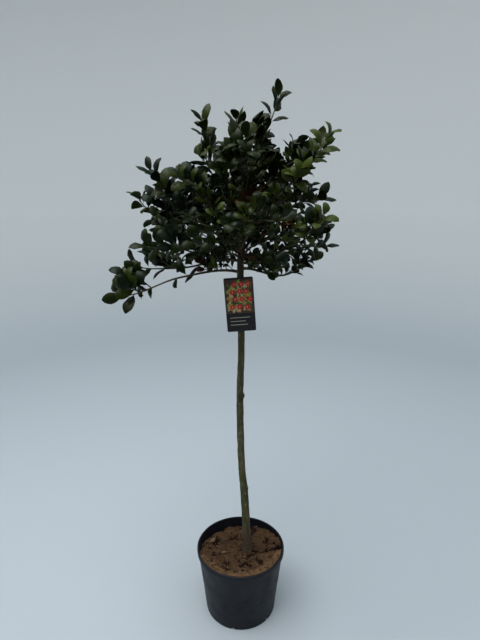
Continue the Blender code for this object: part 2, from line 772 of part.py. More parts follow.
def flat_outline(name, outlines, thickness, collection, material):
    """A plate from closed outlines, the first one round it and any others round its holes."""
    curve = bpy.data.curves.new(name, "CURVE")
    curve.dimensions = "2D"
    curve.fill_mode = "BOTH"
    curve.extrude = thickness / 2
    for outline in outlines:
        spline = curve.splines.new("POLY")
        spline.points.add(len(outline) - 1)
        for point, (x, y) in zip(spline.points, outline):
            point.co = (x, y, 0, 1)
        spline.use_cyclic_u = True
    plate = add_object(name, curve, collection, material)
    return shade_round(edit_mesh(as_mesh_object(plate, collection), weld))


def rounded_rectangle(width, height, corner, steps=4):
    points = []
    for quarter, (side, end) in enumerate(((1, 1), (-1, 1), (-1, -1), (1, -1))):
        x, y = side * (width / 2 - corner), end * (height / 2 - corner)
        for i in range(steps + 1):
            angle = math.pi / 2 * (quarter + i / steps)
            points.append((x + corner * math.cos(angle), y + corner * math.sin(angle)))
    return points


def ellipse(half_x, half_y):
    angles = [2 * math.pi * i / STRAP_STEPS for i in range(STRAP_STEPS)]
    return [(half_x * math.cos(a), half_y * math.sin(a)) for a in angles]


def make_label(trunk, collection, materials):
    """The strap goes through two slots near the card's top, one on each side of the trunk."""
    strap_height = CARD_CENTRE[1] + CARD_HEIGHT / 2 - STRAP_BELOW_EDGE
    axis, _, radius = trunk_at(strap_height, trunk)
    lowest, _, thickest = trunk_at(CARD_CENTRE[1] - CARD_HEIGHT / 2, trunk)
    card_back = min(axis.y, lowest.y) - thickest - CARD_GAP
    card_middle = Vector((CARD_CENTRE[0], card_back - CARD_THICKNESS / 2, CARD_CENTRE[1]))
    card_turn = Matrix.Rotation(math.pi / 2, 4, "X") @ Matrix.Rotation(CARD_TURN, 4, "Z")
    placed = Matrix.Translation(card_middle) @ card_turn
    strap_on_card = placed.inverted() @ Vector((axis.x, card_middle.y, strap_height))
    back, front = axis.y - card_back, axis.y - card_back + CARD_THICKNESS
    inner = Vector((radius + CARD_GAP, front + CARD_GAP))
    outer = inner + Vector((STRAP_THICKNESS, STRAP_THICKNESS))
    slot_from = inner.x * math.sqrt(1 - (front / inner.y) ** 2) - CARD_GAP
    slot_to = outer.x * math.sqrt(1 - (back / outer.y) ** 2) + CARD_GAP
    slots = []
    for side in (-1, 1):
        outline = rounded_rectangle(slot_to - slot_from, SLOT_HEIGHT, SLOT_CORNER, 2)
        slot_middle = strap_on_card + Vector((side * (slot_from + slot_to) / 2, 0, 0))
        slots.append([(x + slot_middle.x, y + slot_middle.y) for x, y in outline])
    outlines = [rounded_rectangle(CARD_WIDTH, CARD_HEIGHT, CARD_CORNER), *slots]
    card = flat_outline("label_card", outlines, CARD_THICKNESS, collection, materials["label"])
    card.matrix_world = placed
    band = [ellipse(*outer), ellipse(*inner)]
    strap = flat_outline("label_strap", band, STRAP_WIDTH, collection, materials["strap"])
    strap.location = (axis.x, axis.y, strap_height)


# ---------------------------------------------------------------- the whole plant


def main():
    clear_scene()
    plant = new_collection("standard_holly")
    guides = new_collection("guides", shown=False)
    drain_cutters = new_collection("drain_cutters", shown=False)
    limb_cutters = new_collection("limb_cutters", shown=False)
    materials = {
        "pot": new_material("black_plastic", (0.012, 0.014, 0.018), 0.55),
        "soil": new_material("peat", (0.085, 0.045, 0.025), 0.95),
        "bark": new_material("bark", (0.060, 0.058, 0.042), 0.85),
        "leaf": new_material("leaf", (0.014, 0.030, 0.010), 0.35),
        "label": new_material("label", (0.020, 0.016, 0.022), 0.35),
        "strap": new_material("strap", (0.010, 0.050, 0.025), 0.50),
    }
    round_profile = polygon_profile(TRUNK_SIDES, guides)
    bough_profile = polygon_profile(BOUGH_SIDES, guides)
    twig_profile = polygon_profile(3, guides)

    make_pot(plant, drain_cutters, materials["pot"])
    make_soil(plant, materials["soil"])
    trunk = trunk_points()
    make_trunk(trunk, round_profile, plant, materials["bark"])
    courses = limb_courses(trunk)
    boughs = bough_points(courses)
    make_boughs(boughs, trunk, bough_profile, round_profile, plant, limb_cutters, materials["bark"])

    make_label(trunk, plant, materials)
    stems = stem_courses(courses, boughs, trunk)
    make_masses(stems, surface_tree(plant.objects), twig_profile, plant, materials["leaf"])


main()
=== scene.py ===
"""The looks of a holly grown as a standard: one clear stem with an open head of leaves, in a nursery pot.

Metres, +Z up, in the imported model's own frame. Limbs, twigs and leaves grow by the same seeded rule as
the model's solids, on to finer twigs and leaves of real size.
"""

import itertools
import json
import random
from collections import namedtuple
from math import cos, dist, exp, hypot, pi, radians, sin, sqrt, tau

import bmesh
import bpy
import numpy as np
from mathutils import Matrix, Vector, noise
from mathutils.bvhtree import BVHTree

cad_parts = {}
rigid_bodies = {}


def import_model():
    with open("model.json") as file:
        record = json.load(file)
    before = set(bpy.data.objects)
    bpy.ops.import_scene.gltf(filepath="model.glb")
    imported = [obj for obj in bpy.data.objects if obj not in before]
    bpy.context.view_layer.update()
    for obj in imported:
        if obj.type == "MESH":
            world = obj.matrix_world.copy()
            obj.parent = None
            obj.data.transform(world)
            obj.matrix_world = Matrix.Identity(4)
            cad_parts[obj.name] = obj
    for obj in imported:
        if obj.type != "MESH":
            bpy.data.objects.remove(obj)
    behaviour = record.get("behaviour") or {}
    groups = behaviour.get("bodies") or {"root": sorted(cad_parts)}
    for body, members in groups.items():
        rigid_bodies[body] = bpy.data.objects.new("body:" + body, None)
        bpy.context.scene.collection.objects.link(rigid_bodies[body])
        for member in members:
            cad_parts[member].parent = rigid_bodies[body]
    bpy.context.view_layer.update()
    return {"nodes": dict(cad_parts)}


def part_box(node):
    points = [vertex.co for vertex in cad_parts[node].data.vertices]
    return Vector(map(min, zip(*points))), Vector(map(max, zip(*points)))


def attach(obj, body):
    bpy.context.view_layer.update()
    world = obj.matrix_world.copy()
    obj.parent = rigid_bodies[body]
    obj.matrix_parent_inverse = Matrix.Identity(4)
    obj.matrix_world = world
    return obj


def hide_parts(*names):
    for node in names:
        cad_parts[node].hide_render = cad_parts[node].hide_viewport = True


UP = Vector((0, 0, 1))
GOLDEN_ANGLE = radians(137.5)
SHARP_ANGLE = radians(50)  # edges sharper than this are shaded sharp
MERGE_DISTANCE = 0.00002

# ---- the plant's rule, as in the solids

SOIL_LEVEL = 0.222
CLEARANCE = 0.0003
# Trunk: height above the ground, x, y and diameter
TRUNK_COURSE = (
    (SOIL_LEVEL + CLEARANCE, 0.023, 0.004, 0.0385),
    (0.242, 0.023, 0.004, 0.0330),
    (0.275, 0.021, 0.004, 0.0295),
    (0.345, 0.018, 0.003, 0.0270),
    (0.457, 0.012, 0.002, 0.026),
    (0.515, 0.006, 0.001, 0.0235),
    (0.615, 0.001, 0.000, 0.0225),
    (0.810, -0.002, 0.000, 0.022),
    (0.950, 0.002, 0.000, 0.0205),
    (1.200, -0.001, 0.000, 0.020),
    (1.300, 0.002, 0.000, 0.017),
    (1.385, 0.004, 0.002, 0.011),
)
STEPS_PER_SPAN = 2
FINE_STEPS_PER_SPAN = 6  # for the bark's surface
# Pruned side shoots that healed over: height, heading and radius
TRUNK_KNOTS = ((0.801, 0, 0.0085), (0.462, 20, 0.0055), (0.640, 250, 0.0050), (1.085, 130, 0.0050))
KNOT_REACH = 2  # in knot radii

# The fork is a height on the trunk, or a length along the parent limb. Places are heading, reach and height
Limb = namedtuple("Limb", "name parent fork bend shoot_tip seed")
LIMB_ROWS = (
    ("left_low", "trunk", 1.195, (190, 0.177, 1.185), (190, 0.348, 1.136), 36),
    ("right_low", "trunk", 1.205, (0, 0.129, 1.186), (0, 0.211, 1.238), 0),
    ("back_low_left", "trunk", 1.210, (100, 0.120, 1.233), (117, 0.246, 1.208), 9),
    ("front_low", "trunk", 1.222, (308, 0.102, 1.216), (297, 0.168, 1.224), 14),
    ("left_shelf", "trunk", 1.228, (173, 0.189, 1.203), (176, 0.332, 1.213), 13),
    ("back_low_right", "trunk", 1.235, (61, 0.136, 1.268), (54, 0.278, 1.225), 32),
    ("right", "trunk", 1.250, (11, 0.162, 1.389), (7, 0.244, 1.407), 14),
    ("front", "trunk", 1.258, (281, 0.108, 1.323), (266, 0.201, 1.342), 17),
    ("left", "trunk", 1.268, (165, 0.196, 1.307), (164, 0.318, 1.399), 4),
    ("back", "trunk", 1.275, (94, 0.120, 1.369), (92, 0.250, 1.468), 39),
    ("right_high", "trunk", 1.288, (341, 0.159, 1.463), (339, 0.242, 1.557), 22),
    ("left_crest", "trunk", 1.300, (209, 0.124, 1.433), (212, 0.193, 1.464), 7),
    ("right_back_high", "trunk", 1.310, (34, 0.137, 1.491), (31, 0.277, 1.560), 17),
    ("top_left", "trunk", 1.330, (160, 0.056, 1.464), (163, 0.114, 1.630), 17),
    ("top_right", "trunk", 1.335, (0, 0.046, 1.520), (0, 0.102, 1.668), 39),
    ("top_fore", "trunk", 1.350, (286, 0.063, 1.462), (277, 0.101, 1.555), 27),
    ("back_top", "trunk", 1.355, (50, 0.080, 1.426), (60, 0.138, 1.540), 25),
    ("left_fore", "left_shelf", 0.050, (210, 0.204, 1.278), (214, 0.287, 1.288), 3),
    ("left_high", "left", 0.050, (180, 0.158, 1.392), (180, 0.250, 1.477), 31),
    ("right_mid", "right_low", 0.050, (351, 0.134, 1.273), (351, 0.255, 1.277), 34),
    ("right_fore", "right", 0.050, (333, 0.170, 1.299), (327, 0.252, 1.363), 7),
    ("front_left", "front", 0.045, (229, 0.126, 1.336), (238, 0.219, 1.287), 3),
    ("front_right", "front", 0.060, (290, 0.102, 1.347), (300, 0.207, 1.358), 18),
    ("back_left", "back", 0.045, (124, 0.145, 1.342), (123, 0.261, 1.438), 10),
    ("back_right", "back", 0.060, (58, 0.143, 1.343), (65, 0.255, 1.457), 15),
)
LIMBS = [Limb(*row) for row in LIMB_ROWS]
LEADER_SHOOT_TIP = (110, 0.042, 1.646)  # of the limb that goes on from the trunk's tip
LEADER_SEED = 38
BARE_LENGTH = 0.085  # of a limb from the trunk
SIDE_BARE_LENGTH = 0.050  # of a limb from another
TRUNK_FORK_SHARE = 0.42  # of the trunk's radius, that a limb starts with
LIMB_FORK_SHARE = 0.80
LEADER_SHARE = 0.80
FOLLOW_PARENT = 0.35  # how far a limb sets out along its parent
LIMB_LIFT = 0.30  # how strongly a limb's end turns up to the light
SHOOT_TIP_RADIUS = 0.0015
COURSE_STEPS = 8
STEM_STEPS = 5
STEM_STRAIGHT = 0.004
STEM_REJOINS = 0.012
STEM_SHARE = 0.95
TWIG_RADIUS = 0.0018
TWIG_SPACING = 0.034
TWIGGY_SHARE = 0.56  # of a stem. Its outer end has only leaves
FIRST_TWIG = 0.012
TWIG_LENGTH = 0.085
TWIG_SHORTENING = 0.45  # share of a twig's length lost from the stem's start to its tip
TWIG_VARIATION = 0.15
TWIG_SPREAD = radians(50)
TWIG_LIFT = 0.45
LEAST_RISE = -0.20  # of the way a twig sets out. One that would point lower turns up
LEAF_SPREAD_AT_TIP = radians(24)
LEAF_SPREAD_BELOW = radians(56)
SPREAD_OVER = 0.045  # length over which the leaves open out, from the shoot tip down
LEAF_LIFT = 0.45
SKY_TURN = 0.35  # how far a leaf's upper face turns to the sky
LIGHT_TURN = 0.60  # how far it turns to the open side of its row, before or behind the plant
ROW_MIDDLE = 0.060  # behind this a leaf turns to the back
LEAF_ROLL_TURN = radians(38)  # chance turn about its own length
PETIOLE_SHARE = 0.15
# The lone shoot hangs out on the left. Leaves and twigs crowd at its tip, beyond a bare stretch
LONE_SHOOT = "left_low"
LONE_TWIGGY_SHARE = 0.85
LONE_LIGHT_TURN = 1.70
LONE_LEAF = 1.12  # size of its leaves
LONE_BARE_STRETCH = 0.105, 0.165  # as lengths from its tip
MASS_REACH = 0.120  # the furthest that anything grows from its own stem
MASS_GAP = 0.0010
LIMB_GAP = 0.0010

# ---- finer growth, only in the looks

SIDE_SHOOT_SPACING = 0.026
FIRST_SIDE_SHOOT = 0.014
LAST_SIDE_SHOOT = 0.75  # as a share of its twig
SIDE_SHOOT_LENGTH = 0.046
SIDE_SHOOT_LENGTHS = 0.75, 1.15  # shares of it
SIDE_SHOOT_TAPER = 0.7
SIDE_SHOOT_RADIUS = 0.0011
SIDE_SHOOT_SPREAD = radians(48)
# Short shoots on the bare parts of the limbs and on the top of the trunk
SPUR_SPACING = 0.011
SPUR_LENGTH = 0.038
FIRST_SPUR = 0.016
TRUNK_SPUR_HEIGHTS = 1.215, 1.370
TWIG_SIDES = 5
TWIG_RING = 0.009
TWIG_SWELL = 0.25
BUD = ((0.0015, 1.35), (0.0045, 0.25))  # length past the twig's tip, and radius as a share of its own
LEAFY_SHARE = 0.90
LEAF_SPACING = 0.0080  # at a shoot's tip
SPACING_GROWTH = 0.085  # length from the tip at which the spacing has doubled
FIRST_LEAF = 0.003
LEAF_LENGTH = 0.066
LEAF_WIDTH = 0.0310
LEAF_SIZES = 0.82, 1.08
LEAF_WIDTHS = 0.9, 1.1
CROWN_CORE = Vector((0.02, 0, 1.27))  # leaves are smallest round this point
CORE_LEAF = 0.54  # their size there
CORE_RADIUS = 0.10
FULL_SIZE_RADIUS = 0.235
YOUNG_LEAF = 0.90  # size of the leaf at a shoot's very tip
SPREAD_VARIATION = radians(12)
LEAF_TRIES = 7
BLADE_START, BLADE_END = 0.30, 0.92  # the middle of a blade, which keeps clear of others
BLADE_BREADTH = 0.72
BLADE_OUTLINE = 1.12, 0.66  # powers that set its widest place and how round it is
LEAF_THICKNESS = 0.0006
LEAF_STATIONS = (0.11, 0.18, 0.30, 0.46, 0.62, 0.77, 0.90)  # shares of its length
STALK_HALF_WIDTH = 0.0007
LEAF_FOLD = 0.20  # rise of each half from the midrib
LEAF_ROLL = 0.42  # how far its margin rolls back down
LEAF_DROOP = 0.35, 2.35  # radians that a leaf turns down from its stalk to its tip
DROOP_ONSET = 2.5  # the power that keeps the bend to the leaf's outer end
LEAF_ARCH = 0.12  # radians that it turns up at first
LEAF_TWIST = 0.45
BACK_REACH = 0.270  # the solids' furthest reach at the back. A leaf that would pass it is left out
LEAF_WAVE = 0.10  # height of the waves in its margin, as a share of its half width
WAVE_TURN = 15  # radians of wave from its stalk to its tip

# Leaf colours are dealt out by shoot: name, upper side, lower side
LEAF_TONES = (
    ("leaf_blue", (0.0053, 0.0114, 0.0046), (0.0100, 0.0184, 0.0056)),
    ("leaf_dark", (0.0082, 0.0142, 0.0018), (0.0130, 0.0210, 0.0030)),
    ("leaf_olive", (0.0178, 0.0264, 0.0023), (0.0210, 0.0312, 0.0035)),
    ("leaf_fresh", (0.0380, 0.0545, 0.0074), (0.0390, 0.0550, 0.0078)),
    ("leaf_bronze", (0.0380, 0.0115, 0.0034), (0.0360, 0.0150, 0.0060)),
)
DARK, FRESH, BRONZE = 1, 3, 4
UPPER_ROUGHNESS = 0.34
LOWER_ROUGHNESS = 0.50
# Where the photo shows light young leaves, old bronze ones or deep shade: a place, its reach and the tone
TONE_PLACES = (
    (Vector((-0.049, -0.100, 1.366)), 0.030, FRESH),
    (Vector((-0.005, -0.100, 1.370)), 0.022, FRESH),
    (Vector((0.135, -0.080, 1.442)), 0.032, FRESH),
    (Vector((0.100, -0.080, 1.472)), 0.032, FRESH),
    (Vector((0.034, -0.060, 1.380)), 0.045, BRONZE),
    (Vector((0.102, -0.070, 1.348)), 0.040, BRONZE),
    # painted shade: dark leaves round the top of the trunk, deep in the crown
    (Vector((0.020, -0.080, 1.270)), 0.110, DARK),
)
# Shares of the first four tones in the shaded masses, in the sunny ones and in the others: painted shade and
# light, with more of the darker tones in the shaded masses and more of the lighter in the sunny ones
SHADED_SHARES = 0.38, 0.41, 0.17, 0.04
SUNNY_SHARES = 0.12, 0.36, 0.44, 0.08
USUAL_SHARES = 0.26, 0.42, 0.26, 0.06
SHADED_MASSES = ("left_low", "left_shelf", "left", "left_fore", "left_high", "back_low_left", "back_left")
SUNNY_MASSES = ("top_left", "top_right", "leader", "back_top", "right_high", "right_back_high")
BRONZE_SPURS = 0.14  # share of the spurs that carry old bronze leaves
CORE_SEED = 5
# Twig colours: name, light and dark
TWIG_TONES = (
    ("twig_bark", (0.074, 0.062, 0.036), (0.032, 0.024, 0.015)),
    ("young_twig", (0.080, 0.086, 0.034), (0.044, 0.044, 0.018)),
)

# Pot, in heights above the ground. Its other sizes are read from the frame
POT_WALL = 0.0025
RIM_DEPTH = 0.016
RIM_ROLL = 0.0035  # radius of the rolled lip
RIM_OVERHANG = 0.005
RIM_INNER_ROUND = 0.002
RIM_FOOT_ROUND = 0.0015
UNDER_RIM_ROUND = 0.0012
POT_FOOT_RADIUS = 0.121
STEP_HEIGHT = 0.114  # the wall is a little narrower below this
STEP_DEPTH = 0.0011
STEP_RISE = 0.004  # above it the wall is plain
STEP_ROUND = 0.0009
STEP_DROP = 0.0022
FOOT_TAPER = 0.012
FOOT_ROUND = 0.003
FOOT_RING = 0.026, 0.020  # inner and outer edge of the slope under the foot, in from its outside
FOOT_HOLLOW = 0.0012
POT_STEPS = 144
DRAIN_HOLES = 6
DRAIN_WIDTH = 0.012
DRAIN_HEIGHT = 0.010
DRAIN_DEPTH = 0.012
DRAIN_FIRST_HEADING = 258

# Soil
SOIL_SLOPE = Vector((0.080, -0.130))
SOIL_LUMP_HEIGHT = 0.004
SOIL_LUMP_SPACING = 0.093
SOIL_RIPPLE_SPACING = 0.038
SOIL_FLAT = 0.040
SOIL_BLEND = 0.035
SOIL_RINGS = 76
SOIL_STEPS = 240
SOIL_CRUMB = 0.0052  # height of the fine lumps in the surface
HOLLOW_DEPTH = 0.008  # of the dark hollows between the lumps
HOLLOW_FROM = 0.10  # noise below this is a hollow
HOLLOW_RAMP = 2.4  # how quickly it deepens
SOIL_BELOW_RIM = 0.0012
TOP_GRAIN = 0.0015  # unevenness where the soil stands level with the rim
CRACK_LOOK = 0.28  # share above which a face looks like the crack
PATCH_LOOK = 0.42  # share above which it looks like a hollow or the edge
LOOK_STRAY = 0.16  # how uneven their borders are
CRUMBS = 420
CRUMB_SIZES = 0.0010, 0.0036
CRUMB_SEED = 7
CRUMB_STRETCH = ((0.7, 1.4), (0.6, 1.1), (0.5, 0.9))
CRUMB_SWELL = 0.45
CRUMB_LUMPS = 1.7  # scale of the noise
CRUMB_REACH = 0.02, 0.93  # as shares of the soil's area
CRUMB_RISE = 0.2
CRUMB_CLEARANCE = 0.024  # from the trunk's middle
FRONT_CRUMB = 0.6  # size of the crumbs along the front edge
FRONT_HEADINGS = 195, 345
FRONT_REACH = 0.90, 0.985  # as shares of its radius
# Dead leaves on the soil, the largest where the photo shows one: place, heading and length
LITTER = (
    (-0.098, 0.056, 20, 0.042),
    (-0.108, 0.012, 300, 0.028),
    (-0.056, -0.016, 205, 0.024),
)
LITTER_SEED = 5
LITTER_TILT = 0.12
LITTER_RISE = 0.005
LITTER_WIDTH = 0.52  # as a share of its length
CHIPS = 90
CHIP_LENGTHS = 0.006, 0.018
CHIP_RISE = 0.0006
CHIP_REACH = 0.03, 0.80
CHIP_SIDES = 5
CRACK_COURSE = ((0.044, -0.006), (0.066, -0.016), (0.094, -0.019), (0.120, -0.010), (0.139, 0.006))
CRACK_WIDTH = 0.0052
CRACK_DEPTH = 0.018
FRONT_EDGE = 0.024  # width of the raised edge at the front
FRONT_EDGE_RISE = 0.0045
FRONT_EDGE_BACK = 0.12  # how far behind the middle it goes on at the sides, as a share of the radius
FRONT_EDGE_RAMP = 2.2  # how quickly it ends there
# Soil colours: name, dark and light
CRUMB_TONES = (
    ("crumb_brown", (0.040, 0.022, 0.012), (0.110, 0.060, 0.032)),
    ("crumb_dark", (0.014, 0.009, 0.006), (0.040, 0.024, 0.015)),
    ("crumb_tan", (0.100, 0.055, 0.026), (0.210, 0.125, 0.062)),
)
PEAT_TONES = (
    ("peat", (0.034, 0.0190, 0.011), (0.124, 0.071, 0.036)),
    # painted shade: the near-black tone given to the hollows and the crack
    ("peat_painted_shade", (0.007, 0.004, 0.003), (0.026, 0.0135, 0.008)),
    ("peat_dry", (0.078, 0.044, 0.021), (0.205, 0.120, 0.062)),
)
DRY_LEAF = "dry_leaf", (0.140, 0.094, 0.054), (0.060, 0.036, 0.020)  # name, light and dark

# Bark
TRUNK_SIDES = 40
TRUNK_RING = 0.0030
LIMB_SIDES = 12
LIMB_RING = 0.0040
COLLAR_LENGTH = 0.010  # over which a limb swells where it leaves its parent
COLLAR_SWELL = 0.55
YOUNG_WOOD_STARTS = 0.42, 0.66  # shares of a limb where brown and then green wood starts

# Label
CARD_WIDTH = 0.087
CARD_HEIGHT = 0.165
CARD_CORNER = 0.004
CARD_TURN = radians(4.2)
PICTURE_SHARE = 0.66
PRINT_LIFT = 0.00004  # between one printed layer and the next
PRINT_DEPTH = 0.0001
PRINT_SEED = 11
PRINT_MARGIN = 0.002
PICTURE_MARGIN = 0.0015
PRINTED_LEAVES = 110
PRINTED_LEAF_SIZES = 0.006, 0.012
PRINTED_LEAF_WIDTH = 0.46  # as a share of its length
LEAF_POINT = 0.25
PRINTED_LEAF_TONES = ("print_green", "print_lime", "print_straw", "print_amber", "print_green")
PETAL_REACH = 0.0046
PETAL_SIZE = 0.0042, 0.0031
FLOWER_EYE = 0.0018
FLOWERS_LEFT = -0.022
FLOWERS_LOW = 0.020
FLOWER_SPACING = 0.021, 0.023
FLOWER_SHIFT = 0.009  # of every other row
FLOWER_STRAY = -0.002, 0.002
FIRST_RULE = 0.014
RULE_SPACING = 0.011
RULE_HEIGHT = 0.0016
RULE_LEFT = -0.032
RULE_WIDTHS = 0.060, 0.046, 0.052
PRINT_TONES = (
    ("print_night", (0.008, 0.008, 0.011)),
    ("print_plum", (0.070, 0.036, 0.024)),
    ("print_straw", (0.480, 0.400, 0.200)),
    ("print_green", (0.060, 0.110, 0.030)),
    ("print_lime", (0.280, 0.300, 0.060)),
    ("print_amber", (0.420, 0.230, 0.060)),
    ("print_red", (0.600, 0.014, 0.022)),
    ("print_cream", (0.520, 0.500, 0.400)),
)

# Camera, light and stage
CAMERA_PLACE = (-0.002, -1.407, 1.433)
CAMERA_PITCH = radians(15.28)
SENSOR = 36
FOCAL_SHARE = 481 / 640  # focal length as a share of the frame's height
FLOOR_RADIUS = 3.2
WALL_RADIUS = 4.4
WALL_HEIGHT = 5.0
WALL_STEPS = 48
FILLET_STEPS = 16
FLOOR_TONE = (0.45, 0.50, 0.54)
WALL_TONE = (0.80, 0.83, 0.83)
WALL_TONE_FROM = 1.2  # height
SKY_TONE = (0.90, 0.96, 1.0)
# Brightness of the sky by the sine of its elevation: the room before the plant is dark
SKY_RAMP = ((0.0, 0.05), (0.25, 0.10), (0.50, 0.75), (1.0, 1.0))
SKY_STRENGTH = 1.05
LIGHT_PLACE = Vector((-0.9, -0.5, 3.6))
LIGHT_TARGET = Vector((0, 0, 1.2))
LIGHT_SIZE = 2.4
LIGHT_WATTS = 75


# ---- objects and materials


def add_object(name, mesh, *materials):
    made = bpy.data.objects.new(name, mesh)
    bpy.context.scene.collection.objects.link(made)
    for material in materials:
        made.data.materials.append(material)
    return made


def shade_round(obj):
    obj.data.shade_smooth()
    obj.data.set_sharp_from_angle(angle=SHARP_ANGLE)
    return obj


def apply_modifiers(obj):
    """Swaps the object's mesh for what its modifiers make of it."""
    bpy.context.view_layer.update()
    graph = bpy.context.evaluated_depsgraph_get()
    mesh = bpy.data.meshes.new_from_object(obj.evaluated_get(graph))
    obj.modifiers.clear()
    obj.data = mesh
    return obj


class MeshParts:
    """Vertices and faces of many small shapes, for one joined mesh."""

    def __init__(self):
        self.vertices = []
        self.faces = []
        self.slots = []

    def add(self, vertices, faces, slot=0):
        first = len(self.vertices)
        self.vertices.extend(vertices)
        self.faces.extend([tuple(first + i for i in face) for face in faces])
        self.slots.extend([slot] * len(faces))

    def make(self, name, *materials):
        mesh = bpy.data.meshes.new(name)
        mesh.from_pydata(self.vertices, [], self.faces)
        made = add_object(name, mesh, *materials)
        mesh.polygons.foreach_set("material_index", self.slots)
        return shade_round(made)


class Nodes:
    """Short calls for building a node tree."""

    def __init__(self, owner, shader):
        owner.use_nodes = True
        self.owner = owner
        self.tree = owner.node_tree
        self.shader = self.tree.nodes[shader]

    def feed(self, socket, source):
        """Links a socket to another one, or sets it to a number or colour."""
        if isinstance(source, bpy.types.NodeSocket):
            self.tree.links.new(source, socket)
        else:
            socket.default_value = (*source, 1) if isinstance(source, tuple) else source

    def add(self, kind, inputs=None, **settings):
        node = self.tree.nodes.new(kind)
        for key, value in settings.items():
            setattr(node, key, value)
        for key, source in (inputs or {}).items():
            self.feed(node.inputs[key], source)
        return node

    def place(self, stretch=(1, 1, 1)):
        """Object coordinates, stretched."""
        coordinates = self.add("ShaderNodeTexCoord").outputs["Object"]
        mapping = self.add("ShaderNodeMapping", {"Vector": coordinates})
        mapping.inputs["Scale"].default_value = stretch
        return mapping.outputs["Vector"]

    def noise(self, scale, detail=4.0, roughness=0.55, stretch=(1, 1, 1)):
        inputs = {"Vector": self.place(stretch), "Scale": scale, "Detail": detail, "Roughness": roughness}
        return self.add("ShaderNodeTexNoise", inputs).outputs["Fac"]

    def ramp(self, value, *stops):
        """Each stop is (position, colour or grey)."""
        node = self.add("ShaderNodeValToRGB", {"Fac": value})
        elements = node.color_ramp.elements
        while len(elements) < len(stops):
            elements.new(0.5)
        for element, (position, tone) in zip(elements, stops):
            element.position = position
            element.color = (*tone, 1) if isinstance(tone, tuple) else (tone, tone, tone, 1)
        return node.outputs["Color"]

    def height_ramp(self, *stops):
        """A ramp by height above the ground. Stops are (metres, colour or grey), under 2 m."""
        split = self.add("ShaderNodeSeparateXYZ", {"Vector": self.place((1, 1, 0.5))})
        return self.ramp(split.outputs["Z"], *((height / 2, tone) for height, tone in stops))

    def mix(self, share, first, second):
        return self.add("ShaderNodeMix", {0: share, 6: first, 7: second}, data_type="RGBA").outputs[2]

    def multiply(self, first, second):
        return self.add("ShaderNodeMath", {0: first, 1: second}, operation="MULTIPLY").outputs[0]

    def bump(self, strength, distance, *grain):
        """Relief from a noise, on top of any that the shader has already."""
        inputs = {"Height": self.noise(*grain), "Strength": strength, "Distance": distance}
        node = self.add("ShaderNodeBump", inputs)
        normal = self.shader.inputs["Normal"]
        if normal.is_linked:
            self.feed(node.inputs["Normal"], normal.links[0].from_socket)
        self.feed(normal, node.outputs["Normal"])

    def colour(self, source):
        self.feed(self.shader.inputs["Base Color"], source)


def new_material(name, roughness=0.5, specular=0.5):
    made = Nodes(bpy.data.materials.new(name), "Principled BSDF")
    made.shader.inputs["Roughness"].default_value = roughness
    made.shader.inputs["Specular IOR Level"].default_value = specular
    return made


def plastic_material():
    """Matt black plastic, dusty in patches and scuffed, with dried splashes near the foot."""
    made = new_material("pot_plastic", specular=0.24)
    tone = made.ramp(made.noise(9, 5), (0.35, (0.0034, 0.0046, 0.0078)), (0.70, (0.0066, 0.0086, 0.0138)))
    dust = made.ramp(made.noise(38, 8, 0.7), (0.55, 0.0), (0.75, 0.35))
    foot = made.height_ramp((0.0, 1.0), (0.09, 0.55), (0.11, 0.30), (0.24, 0.05))
    dusty = made.mix(made.multiply(dust, foot), tone, (0.046, 0.050, 0.056))
    scuff = made.ramp(made.noise(60, 2, 0.5, (1, 1, 9)), (0.66, 0.0), (0.72, 0.22))
    made.colour(made.mix(scuff, dusty, (0.028, 0.032, 0.040)))
    made.feed(made.shader.inputs["Roughness"], made.ramp(made.noise(24, 6), (0.30, 0.42), (0.75, 0.64)))
    made.bump(0.10, 0.0005, 420, 2)
    return made.owner


def soil_material(name, dark, light):
    made = new_material(name, 0.95, 0.1)
    patches = made.ramp(made.noise(34, 8, 0.7), (0.30, dark), (0.68, light))
    grains = made.ramp(made.noise(380, 5, 0.7), (0.34, 0.45), (0.62, 1.0))
    made.colour(made.mix(grains, (0.012, 0.007, 0.005), patches))
    made.bump(0.8, 0.002, 260, 8, 0.7)
    made.bump(0.5, 0.0006, 900, 3, 0.6)
    return made.owner


def bark_material():
    """Grey-brown bark with a film of green algae, thickest low down, and soil splashed on its foot."""
    made = new_material("bark", 0.85, 0.2)
    grain = made.noise(42, 8, 0.65, (1, 1, 0.22))
    plates = made.ramp(grain, (0.34, (0.020, 0.016, 0.008)), (0.64, (0.138, 0.120, 0.070)))
    algae = made.ramp(made.noise(26, 6, 0.6, (1, 1, 0.45)), (0.36, 0.15), (0.60, 1.0))
    where = made.height_ramp((0.30, 0.1), (0.35, 0.95), (0.52, 0.85), (0.66, 0.42), (1.05, 0.35), (1.3, 0.1))
    green = made.mix(made.multiply(algae, where), plates, (0.050, 0.064, 0.014))
    cracks = made.ramp(made.noise(130, 6, 0.7, (1, 1, 0.16)), (0.30, 0.35), (0.52, 1.0))
    cracked = made.mix(cracks, (0.012, 0.010, 0.008), green)
    splashes = made.height_ramp((0.26, 0.85), (0.31, 0.45), (0.34, 0.0))
    splashed = made.mix(splashes, cracked, (0.066, 0.046, 0.031))
    # Painted shade: the bark darkens from 0.7 m to 0.95 m and stays darker above, under the crown
    shaded = made.mix(made.height_ramp((0.70, 0.0), (0.95, 0.35)), splashed, (0.020, 0.018, 0.010))
    flecks = made.ramp(made.noise(105, 3, 0.6, (1, 1, 0.5)), (0.58, 0.0), (0.66, 0.55))
    pale = made.multiply(flecks, made.height_ramp((0.33, 0.0), (0.40, 1.0)))
    made.colour(made.mix(pale, shaded, (0.180, 0.170, 0.130)))
    made.bump(0.7, 0.0014, 150, 8, 0.7, (1, 1, 0.2))
    made.bump(0.4, 0.0004, 650, 4, 0.6)
    return made.owner


def speckled_material(name, colour, shade):
    made = new_material(name, 0.6, 0.25)
    made.colour(made.ramp(made.noise(110, 4), (0.35, shade), (0.65, colour)))
    made.bump(0.3, 0.0003, 700, 4)
    return made.owner


